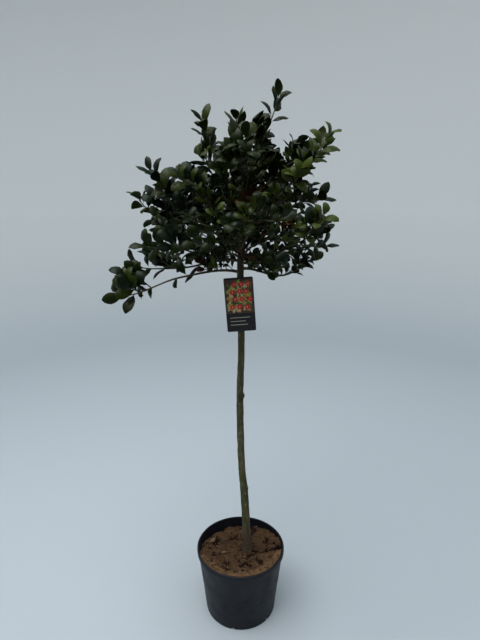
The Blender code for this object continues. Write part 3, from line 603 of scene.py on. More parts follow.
def leaf_material(name, colour, roughness):
    """A plain colour, finely quilted."""
    made = new_material(name, roughness, 0.12)
    made.colour(colour)
    made.bump(0.12, 0.0008, 240, 2, 0.5)
    return made.owner


def card_material(name, colour):
    """Smooth printed card, a little uneven in tone."""
    made = new_material(name, 0.32)
    tone = tuple(0.86 * share for share in colour)
    made.colour(made.ramp(made.noise(75, 5, 0.6), (0.30, tone), (0.70, colour)))
    return made.owner


def strap_material():
    made = new_material("strap_plastic")
    made.colour(made.ramp(made.noise(160, 3), (0.35, (0.008, 0.036, 0.018)), (0.65, (0.012, 0.058, 0.028))))
    made.bump(0.2, 0.0003, 900, 2)
    return made.owner


# ---- lines


def within(share):
    """The number, kept from 0 to 1."""
    return min(max(share, 0), 1)


def on_circle(radius, angle):
    return radius * cos(angle), radius * sin(angle)


def place(heading, reach, height):
    return Vector((*on_circle(reach, radians(heading)), height))


def lifted(direction, lift):
    """The direction, turned up to the light."""
    return (direction + lift * UP).normalized()


def smooth_course(rows, steps):
    """Rows of numbers joined by a Catmull-Rom spline, with steps rows to each span."""
    rows = np.array(rows, float)
    padded = np.vstack([2 * rows[0] - rows[1], rows, 2 * rows[-1] - rows[-2]])
    made = []
    for i in range(len(rows) - 1):
        a, b, c, d = padded[i : i + 4]
        for t in np.arange(steps) / steps:
            made.append(
                b
                + 0.5 * t * (c - a)
                + t * t * (a - 2.5 * b + 2 * c - 0.5 * d)
                + t**3 * (-0.5 * a + 1.5 * b - 1.5 * c + 0.5 * d)
            )
    made.append(rows[-1])
    return made


def bezier(start, leave, arrive, end, steps):
    """Points from start to end, along leave at first and along arrive at last."""
    handle = (end - start).length / 3
    near, far = start + leave * handle, end - arrive * handle
    points = []
    for i in range(steps + 1):
        t = i / steps
        s = 1 - t
        points.append(s**3 * start + 3 * s * s * t * near + 3 * s * t * t * far + t**3 * end)
    return points


class Course:
    """A limb's centre line with an even taper and the length of its bare first part."""

    def __init__(self, line, first_radius, last_radius=SHOOT_TIP_RADIUS, bare=0):
        self.line = line
        self.radii = first_radius, last_radius
        self.bare = bare
        self.length = sum((b - a).length for a, b in zip(line, line[1:]))

    def at(self, length):
        """The point and the direction at a length from the start."""
        for a, b in zip(self.line, self.line[1:]):
            span = (b - a).length
            if length <= span:
                break
            length -= span
        return a + (b - a) * min(length / span, 1), (b - a).normalized()

    def radius(self, length):
        first, last = self.radii
        return first + (last - first) * length / self.length

    def stretch(self, start, end, steps):
        """Evenly spaced (point, radius) pairs between two lengths."""
        lengths = [start + (end - start) * i / steps for i in range(steps + 1)]
        return [(self.at(length)[0], self.radius(length)) for length in lengths]


def trunk_points(steps=STEPS_PER_SPAN):
    rows = smooth_course(TRUNK_COURSE, steps)
    return [(Vector((x, y, height)), diameter / 2) for height, x, y, diameter in rows]


def trunk_at(height, points):
    """The centre, direction and radius of the trunk at a height."""
    for (low, radius), (high, upper_radius) in zip(points, points[1:]):
        if high.z >= height:
            break
    share = (height - low.z) / (high.z - low.z)
    return low.lerp(high, share), (high - low).normalized(), radius + (upper_radius - radius) * share


def trunk_stretch(low, high, spacing, points):
    """Evenly spaced (centre, radius) pairs between two heights."""
    steps = round((high - low) / spacing)
    places = [trunk_at(low + (high - low) * i / steps, points) for i in range(steps + 1)]
    return [(centre, radius) for centre, _, radius in places]


def limb_courses(trunk):
    """{name: course} of every limb and of the leader."""
    courses = {}
    for limb in LIMBS:
        if limb.parent == "trunk":
            root, onward, radius = trunk_at(limb.fork, trunk)
            radius, bare = radius * TRUNK_FORK_SHARE, BARE_LENGTH
        else:
            parent = courses[limb.parent]
            root, onward = parent.at(limb.fork)
            radius, bare = parent.radius(limb.fork) * LIMB_FORK_SHARE, SIDE_BARE_LENGTH
        bend, end = place(*limb.bend), place(*limb.shoot_tip)
        to_bend, to_end = (bend - root).normalized(), (end - bend).normalized()
        leave = (to_bend + FOLLOW_PARENT * onward).normalized()
        through = (to_bend + to_end).normalized()
        line = bezier(root, leave, through, bend, COURSE_STEPS)
        line += bezier(bend, through, lifted(to_end, LIMB_LIFT), end, COURSE_STEPS)[1:]
        courses[limb.name] = Course(line, radius, bare=bare)
    (before, _), (root, radius) = trunk[-2:]
    end = place(*LEADER_SHOOT_TIP)
    arrive = lifted((end - root).normalized(), LIMB_LIFT)
    line = bezier(root, (root - before).normalized(), arrive, end, COURSE_STEPS)
    courses["leader"] = Course(line, radius * LEADER_SHARE)
    return courses


def stem_courses(courses, trunk):
    """{mass name: its stem}, from the end of the bare part on."""
    stems = {}
    for name, course in courses.items():
        base = course.stretch(0, course.bare, 3) if course.bare else trunk
        (before, _), (tip, radius) = base[-2:]
        onward = (tip - before).normalized()
        root = tip + onward * CLEARANCE
        rest = course.stretch(course.bare + STEM_REJOINS, course.length, STEM_STEPS)
        line = [root, root + onward * STEM_STRAIGHT, *(point for point, _ in rest)]
        stems[name] = Course(line, radius * STEM_SHARE)
    return stems


def side_of(direction):
    """Any direction square to this one."""
    return direction.cross(UP if abs(direction.z) < 0.9 else Vector((1, 0, 0))).normalized()


def rotated(direction, around, angle):
    return Matrix.Rotation(angle, 3, around) @ direction


# ---- tubes


def around(count):
    """Each corner of a ring with the next one."""
    return [(i, (i + 1) % count) for i in range(count)]


def ring_frames(points):
    """Two directions square to the line at each point, turning as little as they can."""
    frames = []
    side = None
    for i in range(len(points)):
        before, after = points[max(i - 1, 0)], points[min(i + 1, len(points) - 1)]
        along = (after - before).normalized()
        side = side_of(along) if side is None else (side - along * side.dot(along)).normalized()
        frames.append((side, along.cross(side)))
    return frames


def add_tube(parts, rows, sides, slot=0, relief=None):
    """A closed tube through (point, radius) rows. Relief gives the bark's rise at a surface point."""
    vertices = []
    for (point, radius), (side, across) in zip(rows, ring_frames([point for point, _ in rows])):
        for i in range(sides):
            angle = tau * i / sides
            outward = side * cos(angle) + across * sin(angle)
            surface = point + outward * radius
            if relief:
                surface += outward * relief(surface, radius)
            vertices.append(surface)
    faces = []
    last = len(vertices) - sides
    for low in range(0, last, sides):
        high = low + sides
        faces += [(low + i, low + j, high + j, high + i) for i, j in around(sides)]
    faces += [tuple(reversed(range(sides))), tuple(range(last, last + sides))]
    parts.add(vertices, faces, slot)


def bark_relief(surface, radius):
    """Plates and furrows drawn out along the trunk, finer on thin limbs."""
    furrows = noise.fractal(Vector((surface.x * 260, surface.y * 260, surface.z * 42)), 0.8, 2.0, 4)
    lumps = noise.noise(Vector((surface.x * 50, surface.y * 50, surface.z * 30)))
    return radius * (0.050 * furrows + 0.075 * lumps)


def knot_rise(near, size):
    """A healed knot's rise at a distance in knot radii: a swelling round a dimple."""
    return 0.62 * size * exp(-1.6 * near * near) * (1 - 0.35 * exp(-14 * near * near))


def make_trunk(material):
    """The trunk with furrowed bark and healed knots."""
    points = trunk_points(FINE_STEPS_PER_SPAN)
    rows = trunk_stretch(points[0][0].z, points[-1][0].z, TRUNK_RING, points)
    knots = []
    for height, heading, size in TRUNK_KNOTS:
        centre, _, radius = trunk_at(height, points)
        knots.append((centre + place(heading, radius, 0), size))

    def relief(surface, radius):
        rise = bark_relief(surface, radius)
        for centre, size in knots:
            near = (surface - centre).length / size
            if near < KNOT_REACH:
                rise += knot_rise(near, size)
        return rise

    parts = MeshParts()
    add_tube(parts, rows, TRUNK_SIDES, 0, relief)
    return parts.make("bark_trunk", material)


def limb_rows(course, spacing, swell):
    """Rows of a limb with a collar where it leaves its parent."""
    steps = max(4, round(course.length / spacing))
    rows = []
    for i in range(steps + 1):
        length = course.length * i / steps
        radius = course.radius(length) * (1 + swell * exp(-length / COLLAR_LENGTH))
        rows.append((course.at(length)[0], radius))
    return rows


def make_boughs(courses, *materials):
    """Each limb from inside its parent to its tip: bark, then young brown wood, then a green shoot."""
    parts = MeshParts()
    for course in courses.values():
        rows = limb_rows(course, LIMB_RING, COLLAR_SWELL)
        first = len(parts.slots)
        add_tube(parts, rows, LIMB_SIDES, 0, bark_relief)
        for i in range(first, len(parts.slots)):
            share = (i - first) / LIMB_SIDES / len(rows)
            parts.slots[i] = sum(share > start for start in YOUNG_WOOD_STARTS)
    return parts.make("bark_boughs", *materials)


# ---- growth


Leaf = namedtuple("Leaf", "root along face length width")


def surface_tree(objects):
    """One tree of the surfaces that leaves and twigs keep clear of."""
    vertices, faces = [], []
    for obj in objects:
        first = len(vertices)
        vertices += [v.co.copy() for v in obj.data.vertices]
        faces += [[first + i for i in p.vertices] for p in obj.data.polygons]
    return BVHTree.FromPolygons(vertices, faces)


def blade_corners(leaf, from_share=0.0):
    """The corners of a leaf's flat outline: root end, left, tip and right."""
    across = leaf.along.cross(leaf.face)
    middle = leaf.root + leaf.along * leaf.length * 0.5
    root_end = leaf.root + leaf.along * leaf.length * from_share
    half = across * leaf.width / 2
    return [root_end, middle - half, leaf.root + leaf.along * leaf.length, middle + half]


def blade_tree(leaf):
    """The middle of a blade, which keeps clear of other blades."""
    slim = leaf._replace(length=leaf.length * BLADE_END, width=leaf.width * BLADE_BREADTH)
    return BVHTree.FromPolygons(blade_corners(slim, BLADE_START), [(0, 1, 2, 3)])


class Crown:
    """Where each mass's stem runs, to tell whose space a point is in."""

    def __init__(self, stems):
        self.names = list(stems)
        self.starts = np.array([a for stem in stems.values() for a in stem.line[:-1]], float)
        self.ends = np.array([b for stem in stems.values() for b in stem.line[1:]], float)
        counts = [len(stem.line) - 1 for stem in stems.values()]
        self.first = np.cumsum([0, *counts[:-1]])

    def distances(self, points):
        """The distance from each point to the nearest part of each stem."""
        p = np.array(points, float)[:, None]
        run = self.ends - self.starts
        t = np.clip(((p - self.starts) * run).sum(2) / (run**2).sum(1), 0, 1)[:, :, None]
        to_segments = np.linalg.norm(p - (self.starts + t * run), axis=2)
        return np.minimum.reduceat(to_segments, self.first, axis=1)


class Space:
    """The room off the limbs. A leaf in it keeps clear of its neighbours."""

    def __init__(self, name, limb_tree):
        self.name = name
        self.limb_tree = limb_tree
        self.blades = []

    def holds(self, points, margin):
        return True

    def takes_twig(self, line, radius):
        points = [a.lerp(b, t / 4) for a, b in zip(line[1:-1], line[2:]) for t in range(5)]
        near_limb = any(self.limb_tree.find_nearest(p, radius + LIMB_GAP)[0] is not None for p in points)
        return not near_limb and self.holds(points, MASS_GAP + radius)

    def takes_leaf(self, leaf):
        blade = blade_tree(leaf)
        if not self.holds(blade_corners(leaf), 0) or blade.overlap(self.limb_tree):
            return False
        if any(blade.overlap(other) for other in self.blades):
            return False
        self.blades.append(blade)
        return True


class MassSpace(Space):
    """A mass's own space: what is nearer to its stem than to any other, and within reach."""

    def __init__(self, name, limb_tree, crown):
        super().__init__(name, limb_tree)
        self.crown = crown
        self.number = crown.names.index(name)

    def holds(self, points, margin):
        to_stems = self.crown.distances(points)
        own = to_stems[:, self.number]
        others = np.delete(to_stems, self.number, axis=1).min(axis=1)
        return own.max() <= MASS_REACH and bool((others > own + 2 * margin).all())


def turned_up(direction):
    """The direction, or one to the same side and a little up, where it points down."""
    if direction.z >= LEAST_RISE:
        return direction
    return Vector((direction.x, direction.y, -LEAST_RISE)).normalized()


def in_bare_stretch(name, from_tip):
    low, high = LONE_BARE_STRETCH
    return name == LONE_SHOOT and low < from_tip < high


def twig_line(parent, start, angle, spread, length, steps):
    """A line that leaves its parent at an angle round it and turns up to the light."""
    root, onward = parent.at(start)
    out = rotated(side_of(onward), onward, angle)
    leave = turned_up(onward * cos(spread) + out * sin(spread))
    end = root + lifted(leave, TWIG_LIFT) * length
    return bezier(root, leave, lifted(leave, 2 * TWIG_LIFT), end, steps)


def grow_twigs(stem, space, rng):
    """Twigs in a spiral up the stem, shorter towards its tip."""
    twigs = []
    spin = rng.uniform(0, tau)
    twiggy_share = LONE_TWIGGY_SHARE if space.name == LONE_SHOOT else TWIGGY_SHARE
    for i in range(int((stem.length * twiggy_share - FIRST_TWIG) / TWIG_SPACING) + 1):
        start = FIRST_TWIG + i * TWIG_SPACING
        length = TWIG_LENGTH * (1 - TWIG_SHORTENING * start / stem.length)
        length *= rng.uniform(1 - TWIG_VARIATION, 1 + TWIG_VARIATION)
        line = twig_line(stem, start, spin + i * GOLDEN_ANGLE, TWIG_SPREAD, length, 2)
        is_bare = in_bare_stretch(space.name, stem.length - start)
        if not is_bare and space.takes_twig(line, TWIG_RADIUS):
            twigs.append(Course(line, TWIG_RADIUS))
    return twigs


def grow_side_shoots(parent, first, last, spacing, length, space, rng):
    """Finer shoots in a spiral along a twig or a bare limb, between two lengths."""
    shoots = []
    spin = rng.uniform(0, tau)
    for i in range(max(0, int((last - first) / spacing) + 1)):
        angle = spin + i * GOLDEN_ANGLE
        reach = length * rng.uniform(*SIDE_SHOOT_LENGTHS)
        line = twig_line(parent, first + i * spacing, angle, SIDE_SHOOT_SPREAD, reach, 4)
        if space.takes_twig(line, SIDE_SHOOT_RADIUS):
            shoots.append(Course(line, SIDE_SHOOT_RADIUS, SIDE_SHOOT_TAPER * SIDE_SHOOT_RADIUS))
    return shoots


def size_at(point):
    """The size of a leaf by its place: small deep in the crown, where old leaves were shaded."""
    share = ((point - CROWN_CORE).length - CORE_RADIUS) / (FULL_SIZE_RADIUS - CORE_RADIUS)
    return CORE_LEAF + (1 - CORE_LEAF) * within(share)


def leaf_at(shoot, from_tip, angle, name, rng):
    """A leaf of the named mass, at a length from a shoot's tip."""
    root, onward = shoot.at(shoot.length - from_tip)
    out = rotated(side_of(onward), onward, angle)
    opened = min(from_tip / SPREAD_OVER, 1)
    spread = LEAF_SPREAD_AT_TIP + (LEAF_SPREAD_BELOW - LEAF_SPREAD_AT_TIP) * opened
    spread += rng.uniform(-SPREAD_VARIATION, SPREAD_VARIATION)
    outward = lifted(onward * cos(spread) + out * sin(spread), LEAF_LIFT)
    open_side = Vector((0, -1 if root.y < ROW_MIDDLE else 1, 0))
    light_turn = LONE_LIGHT_TURN if name == LONE_SHOOT else LIGHT_TURN
    face = onward * sin(spread) - out * cos(spread) + SKY_TURN * UP + light_turn * open_side
    face = (face - outward * face.dot(outward)).normalized()
    face = rotated(face, outward, rng.uniform(-LEAF_ROLL_TURN, LEAF_ROLL_TURN))
    size = rng.uniform(*LEAF_SIZES) * size_at(root) * (YOUNG_LEAF if from_tip == FIRST_LEAF else 1)
    size *= LONE_LEAF if name == LONE_SHOOT else 1
    width = LEAF_WIDTH * size * rng.uniform(*LEAF_WIDTHS)
    return Leaf(root, outward, face, LEAF_LENGTH * size, width)


def grow_leaves(shoot, space, rng, is_stem=False):
    """Leaves in a spiral down a shoot, further and further apart. One without room tries further round."""
    spin = rng.uniform(0, tau)
    leaves = []
    from_tip = FIRST_LEAF
    i = 0
    while from_tip < shoot.length * LEAFY_SHARE:
        for attempt in range(LEAF_TRIES):
            if is_stem and in_bare_stretch(space.name, from_tip):
                break
            angle = spin + i * GOLDEN_ANGLE + attempt * tau / LEAF_TRIES
            leaf = leaf_at(shoot, from_tip, angle, space.name, rng)
            if space.takes_leaf(leaf):
                leaves.append(leaf)
                break
        from_tip += LEAF_SPACING * (1 + from_tip / SPACING_GROWTH)
        i += 1
    return leaves


# ---- leaves as meshes


def half_width(station):
    """A blade's half width at a station, as a share of its greatest: an ellipse with a point."""
    along_blade = (station - PETIOLE_SHARE) / (1 - PETIOLE_SHARE)
    widest, roundness = BLADE_OUTLINE
    return sin(pi * along_blade**widest) ** roundness if along_blade > 0 else 0


def leaf_side(columns):
    """The faces of one side of a leaf, from its five vertices across the first station.

    Vertex 0 is the root. Each station has five vertices across the upper side and three under it, and
    the last vertex is the tip.
    """
    rows = [[column + 8 * i for column in columns] for i in range(len(LEAF_STATIONS))]
    tip = 1 + 8 * len(LEAF_STATIONS)
    faces = [(0, rows[0][i + 1], rows[0][i]) for i in range(4)]
    for a, b in zip(rows, rows[1:]):
        faces += [(a[i], a[i + 1], b[i + 1], b[i]) for i in range(4)]
    return faces + [(rows[-1][i], rows[-1][i + 1], tip) for i in range(4)]


UPPER_FACES = leaf_side((1, 2, 3, 4, 5))
LOWER_FACES = [face[::-1] for face in leaf_side((1, 6, 7, 8, 5))]


def leaf_vertices(leaf, rng):
    """A leathery blade on a short stalk, folded along its midrib, rolled at its margin and turned down."""
    droop = rng.uniform(*LEAF_DROOP)
    twist = rng.uniform(-LEAF_TWIST, LEAF_TWIST)
    phase = rng.uniform(0, tau)
    across = leaf.along.cross(leaf.face)
    vertices = [leaf.root]
    centre, last = leaf.root.copy(), 0.0
    for station in (*LEAF_STATIONS, 1.0):
        bend = droop * station**DROOP_ONSET - LEAF_ARCH
        centre += (leaf.along * cos(bend) - leaf.face * sin(bend)) * (station - last) * leaf.length
        last = station
        if station == 1.0:
            break
        up = leaf.face * cos(bend) + leaf.along * sin(bend)
        turn = twist * station
        side = across * cos(turn) + up * sin(turn)
        up = up * cos(turn) - across * sin(turn)
        half = max(leaf.width / 2 * half_width(station), STALK_HALF_WIDTH)
        row = []
        for share in (-1, -0.5, 0, 0.5, 1):
            wave = LEAF_WAVE * share * share * sin(phase * (1 + share) + WAVE_TURN * station)
            rise = half * (LEAF_FOLD * abs(share) - LEAF_ROLL * share * share + wave)
            row.append(centre + side * half * share + up * rise)
        vertices += [*row, *(point - up * LEAF_THICKNESS for point in row[1:4])]
    return [*vertices, centre]


def pick_tone(name, shoot, rng):
    """The number of a leaf tone for a shoot of the named mass."""
    drawn = rng.random()
    middle, _ = shoot.at(shoot.length / 2)
    for centre, reach, tone in TONE_PLACES:
        if (middle - centre).length < reach:
            return tone
    shares = USUAL_SHARES
    if name in SHADED_MASSES:
        shares = SHADED_SHARES
    elif name in SUNNY_MASSES:
        shares = SUNNY_SHARES
    for number, share in enumerate(shares):
        drawn -= share
        if drawn <= 0:
            break
    return number


def add_leaf(parts, leaf, tone, rng):
    """Adds a leaf, unless it would pass the solids' furthest reach at the back."""
    vertices = leaf_vertices(leaf, rng)
    if max(vertex.y for vertex in vertices) > BACK_REACH:
        return
    parts.add(vertices, UPPER_FACES + LOWER_FACES, 2 * tone)
    count = len(LOWER_FACES)
    parts.slots[-count:] = [2 * tone + 1] * count


def add_shoot(parts, shoot, slot):
    """A twig with a small pointed bud at its end."""
    rows = limb_rows(shoot, TWIG_RING, TWIG_SWELL)
    tip, onward = shoot.at(shoot.length)
    radius = rows[-1][1]
    rows += [(tip + onward * beyond, radius * share) for beyond, share in BUD]
    add_tube(parts, rows, TWIG_SIDES, slot)


def make_foliage(space, twigs, fine, rng, materials, stem=None):
    """One piece of twigs and one of leaves. A mass has a stem, and its leaves replace its solid."""
    twig_parts, leaf_parts = MeshParts(), MeshParts()
    for slot, shoots in enumerate((twigs, fine)):
        for shoot in shoots:
            add_shoot(twig_parts, shoot, slot)
    for shoot in (stem, *twigs, *fine) if stem else twigs:
        is_old = not stem and rng.random() < BRONZE_SPURS
        tone = BRONZE if is_old else pick_tone(space.name, shoot, rng)
        for leaf in grow_leaves(shoot, space, rng, shoot is stem):
            add_leaf(leaf_parts, leaf, tone, rng)
    if twig_parts.faces:
        finish_piece(twig_parts.make(f"twigs_{space.name}", *materials["twig"]), "bark")
    replaced = [f"leaves_{space.name}"] if stem else []
    finish_piece(leaf_parts.make(f"foliage_{space.name}", *materials["leaf"]), "leaf", *replaced)


def make_masses(stems, limb_tree, materials):
    seeds = {**{limb.name: limb.seed for limb in LIMBS}, "leader": LEADER_SEED}
    crown = Crown(stems)
    for name, stem in stems.items():
        rng = random.Random(seeds[name])
        space = MassSpace(name, limb_tree, crown)
        twigs = grow_twigs(stem, space, rng)
        fine = []
        for twig in twigs:
            last = twig.length * LAST_SIDE_SHOOT
            shape = FIRST_SIDE_SHOOT, last, SIDE_SHOOT_SPACING, SIDE_SHOOT_LENGTH
            fine += grow_side_shoots(twig, *shape, space, rng)
        make_foliage(space, twigs, fine, rng, materials, stem)


def make_core(courses, trunk, limb_tree, materials):
    """Short leafy spurs on the bare parts of the limbs and round the trunk's top."""
    rng = random.Random(CORE_SEED)
    space = Space("core", limb_tree)
    rows = trunk_stretch(*TRUNK_SPUR_HEIGHTS, SPUR_SPACING, trunk)
    top = Course([point for point, _ in rows], rows[0][1], rows[-1][1])
    spurs = grow_side_shoots(top, 0, top.length, SPUR_SPACING / 2, SPUR_LENGTH, space, rng)
    for course in courses.values():
        shape = FIRST_SPUR, course.bare + SPUR_SPACING, SPUR_SPACING, SPUR_LENGTH
        spurs += grow_side_shoots(course, *shape, space, rng)
    make_foliage(space, spurs, [], rng, materials)


def finish_piece(piece, slot, *nodes):
    """The piece rides on the plant and stands for its nodes. Its slot is not used."""
    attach(piece, "root")
    if nodes:
        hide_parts(*nodes)


# ---- pot and soil


def wall_radius(height, pot_rim):
    """The pot's outside below the rim, by the highest corner of its box."""
    widest = pot_rim.x - RIM_OVERHANG
    return POT_FOOT_RADIUS + (widest - POT_FOOT_RADIUS) * height / (pot_rim.z - RIM_DEPTH)


def arc(x, y, size, start, end, steps):
    """Points of an arc round a middle, with angles in degrees."""
    points = []
    for i in range(steps + 1):
        across, up = on_circle(size, radians(start + (end - start) * i / steps))
        points.append((x + across, y + up))
    return points


def turned(name, profile, steps, material, angle=tau):
    """A profile of (radius, height) points turned round the upright axis."""
    mesh = bpy.data.meshes.new(name)
    points = [(radius, 0, height) for radius, height in profile]
    mesh.from_pydata(points, [(i, i + 1) for i in range(len(points) - 1)], [])
    made = add_object(name, mesh, material)
    screw = made.modifiers.new("Turn", "SCREW")
    screw.steps = screw.render_steps = steps
    screw.angle = angle
    screw.use_merge_vertices = True
    screw.merge_threshold = MERGE_DISTANCE
    return made


def pot_profile(pot_rim):
    """The pot's section as (radius, height) points: down its outside, in along its foot and up its inside."""
    rim, height = pot_rim.x, pot_rim.z
    under_rim = height - RIM_DEPTH

    def wall(z):
        return wall_radius(z, pot_rim)

    def rounded(radius, z, size, start, end, steps=3):
        """An arc at a corner. Its middle is inward and above, or outward and below if size is negative."""
        return arc(radius - size, z + size, abs(size), start, end, steps)

    inner_top = wall(height) - POT_WALL
    inner_rim = inner_top, height - 2 * RIM_INNER_ROUND
    profile = [inner_rim]
    profile += rounded(inner_top, height, -RIM_INNER_ROUND, 180, 90)
    profile += arc(rim - RIM_ROLL, height - RIM_ROLL, RIM_ROLL, 90, 0, 6)
    profile += rounded(rim, under_rim, RIM_FOOT_ROUND, 0, -90)
    profile += rounded(wall(under_rim), under_rim, -UNDER_RIM_ROUND, 90, 180)
    profile.append((wall(STEP_HEIGHT + STEP_RISE), STEP_HEIGHT + STEP_RISE))
    profile += rounded(wall(STEP_HEIGHT), STEP_HEIGHT, STEP_ROUND, 0, -90)
    profile.append((wall(STEP_HEIGHT) - STEP_DEPTH, STEP_HEIGHT - STEP_DROP))
    profile.append((wall(FOOT_TAPER), FOOT_TAPER))
    profile += rounded(POT_FOOT_RADIUS, 0, FOOT_ROUND, 0, -90, 4)
    inner, outer = [POT_FOOT_RADIUS - inset for inset in FOOT_RING]
    profile += [(outer, 0.0), (inner, FOOT_HOLLOW), (0, FOOT_HOLLOW), (0, POT_WALL)]
    return [*profile, (wall(POT_WALL) - POT_WALL, POT_WALL), inner_rim]


def drain_cutter(name, heading):
    """A block that cuts one drain hole."""
    bm = bmesh.new()
    bmesh.ops.create_cube(bm, size=2)
    size = Matrix.Diagonal((DRAIN_DEPTH, DRAIN_WIDTH / 2, DRAIN_HEIGHT, 1))
    bm.transform(Matrix.Rotation(heading, 4, "Z") @ Matrix.Translation((POT_FOOT_RADIUS, 0, 0)) @ size)
    mesh = bpy.data.meshes.new(name)
    bm.to_mesh(mesh)
    bm.free()
    return add_object(name, mesh)


def make_pot(material):
    """A blown nursery pot: rolled lip, a step half way down its wall, and drain holes at its foot."""
    pot = turned("nursery_pot", pot_profile(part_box("pot")[1]), POT_STEPS, material)
    cutters = []
    for i in range(DRAIN_HOLES):
        heading = radians(DRAIN_FIRST_HEADING + i * 360 / DRAIN_HOLES)
        cutters.append(drain_cutter(f"drain_{i}", heading))
        cut = pot.modifiers.new(cutters[-1].name, "BOOLEAN")
        cut.operation = "DIFFERENCE"
        cut.object = cutters[-1]
    apply_modifiers(pot)
    for cutter in cutters:
        bpy.data.objects.remove(cutter, do_unlink=True)
    return shade_round(pot)


def turbulence(x, y, scale, layer, octaves, falloff=0.7, gain=2.1):
    """Fractal noise over the soil."""
    return noise.fractal(Vector((x * scale, y * scale, layer)), falloff, gain, octaves)


def from_trunk(x, y):
    return dist((x, y), TRUNK_COURSE[0][1:3])


def soil_height(x, y):
    """The solid's surface: flat under the trunk, and lumpy and sloping away from it."""
    share = within((from_trunk(x, y) - SOIL_FLAT) / SOIL_BLEND)
    lump = tau / SOIL_LUMP_SPACING
    ripple = tau / SOIL_RIPPLE_SPACING
    lumps = sin(lump * x + 1) * cos(lump * y) + sin(ripple * (x - y)) / 2
    return SOIL_LEVEL + share * (SOIL_SLOPE.dot((x, y)) + SOIL_LUMP_HEIGHT * lumps)


def crack_share(x, y):
    """How deep in the crack a place is, from 0 to 1."""
    point = Vector((x, y))
    nearest = 1.0
    for a, b in zip(CRACK_COURSE, CRACK_COURSE[1:]):
        a, b = Vector(a), Vector(b)
        share = within((point - a).dot(b - a) / (b - a).length_squared)
        nearest = min(nearest, (point - a.lerp(b, share)).length)
    return exp(-((nearest / CRACK_WIDTH) ** 2))


def edge_share(x, y, edge):
    """How far a place belongs to the raised edge at the front, from 0 to 1."""
    frontness = within((FRONT_EDGE_BACK - y / edge) * FRONT_EDGE_RAMP)
    return frontness * exp(-(((edge - hypot(x, y)) / FRONT_EDGE) ** 2))


def hollow_share(x, y):
    """How deep between the lumps a place is, from 0 to 1."""
    return within((-turbulence(x, y, 38, 5.3, 4, 0.8) - HOLLOW_FROM) * HOLLOW_RAMP)


def rough_soil(x, y, edge, top):
    """The height of the crumbly surface, with hollows, a crack and a raised edge at the front."""
    coarse = turbulence(x, y, 70, 3.1, 4)
    fine = turbulence(x, y, 420, 7.7, 3, 0.6, 2.2)
    in_edge = edge_share(x, y, edge)
    height = soil_height(x, y)
    height += SOIL_CRUMB * (0.75 * coarse * (1 - 0.7 * in_edge) + 0.45 * fine)
    height -= HOLLOW_DEPTH * hollow_share(x, y) * (1 - in_edge)
    height -= CRACK_DEPTH * crack_share(x, y)
    height += FRONT_EDGE_RISE * in_edge
    return min(height, top + TOP_GRAIN * fine)


def soil_slot(x, y, edge):
    """0 for plain compost, 1 for its hollows and crack, painted near-black as shade, 2 for the dry fibrous
    edge at the front.
    """
    uneven = LOOK_STRAY * turbulence(x, y, 170, 1.9, 3)
    if crack_share(x, y) + uneven > CRACK_LOOK:
        return 1
    if edge_share(x, y, edge) + uneven > PATCH_LOOK:
        return 2
    return 1 if hollow_share(x, y) + uneven > PATCH_LOOK else 0


def add_crumb(parts, centre, size, rng, slot):
    """A small lump with an uneven surface."""
    bm = bmesh.new()
    bmesh.ops.create_icosphere(bm, subdivisions=1, radius=1)
    stretch = Vector([rng.uniform(*shares) for shares in CRUMB_STRETCH])
    turn = Matrix.Rotation(rng.uniform(0, 6.28), 3, "Z")
    shift = Vector((rng.uniform(0, 50), rng.uniform(0, 50), 0))  # to a part of the noise of its own
    vertices = []
    for vertex in bm.verts:
        swell = 1 + CRUMB_SWELL * noise.noise(vertex.co * CRUMB_LUMPS + shift)
        vertices.append(centre + turn @ (vertex.co * stretch) * size * swell)
    faces = [[v.index for v in face.verts] for face in bm.faces]
    bm.free()
    parts.add(vertices, faces, slot)


def add_chip(parts, centre, length, rng, slot):
    """A flake of bark or a bit of root lying on the soil: a bent sliver."""
    heading = rng.uniform(0, tau)
    onward = Vector((*on_circle(1, heading), rng.uniform(-0.1, 0.25))).normalized()
    middle = centre + UP * length * rng.uniform(0.02, 0.14)
    rows = [
        (centre - onward * length / 2, length * 0.03),
        (centre.lerp(middle, 0.7) - onward * length / 5, length * 0.075),
        (middle + onward * length / 6, length * 0.085),
        (centre + onward * length / 2, length * 0.025),
    ]
    add_tube(parts, rows, CHIP_SIDES, slot)


def make_litter(material):
    """A few dead leaves lying on the soil, curled up at their tips."""
    rng = random.Random(LITTER_SEED)
    litter = MeshParts()
    for x, y, heading, length in LITTER:
        along = place(heading, 1, LITTER_TILT).normalized()
        across = UP.cross(along).normalized()
        root = Vector((x, y, soil_height(x, y) + LITTER_RISE)) - along * length / 2
        leaf = Leaf(root, along, across.cross(along), length, LITTER_WIDTH * length)
        litter.add(leaf_vertices(leaf, rng), UPPER_FACES + LOWER_FACES)
    return litter.make("leaf_litter", material)


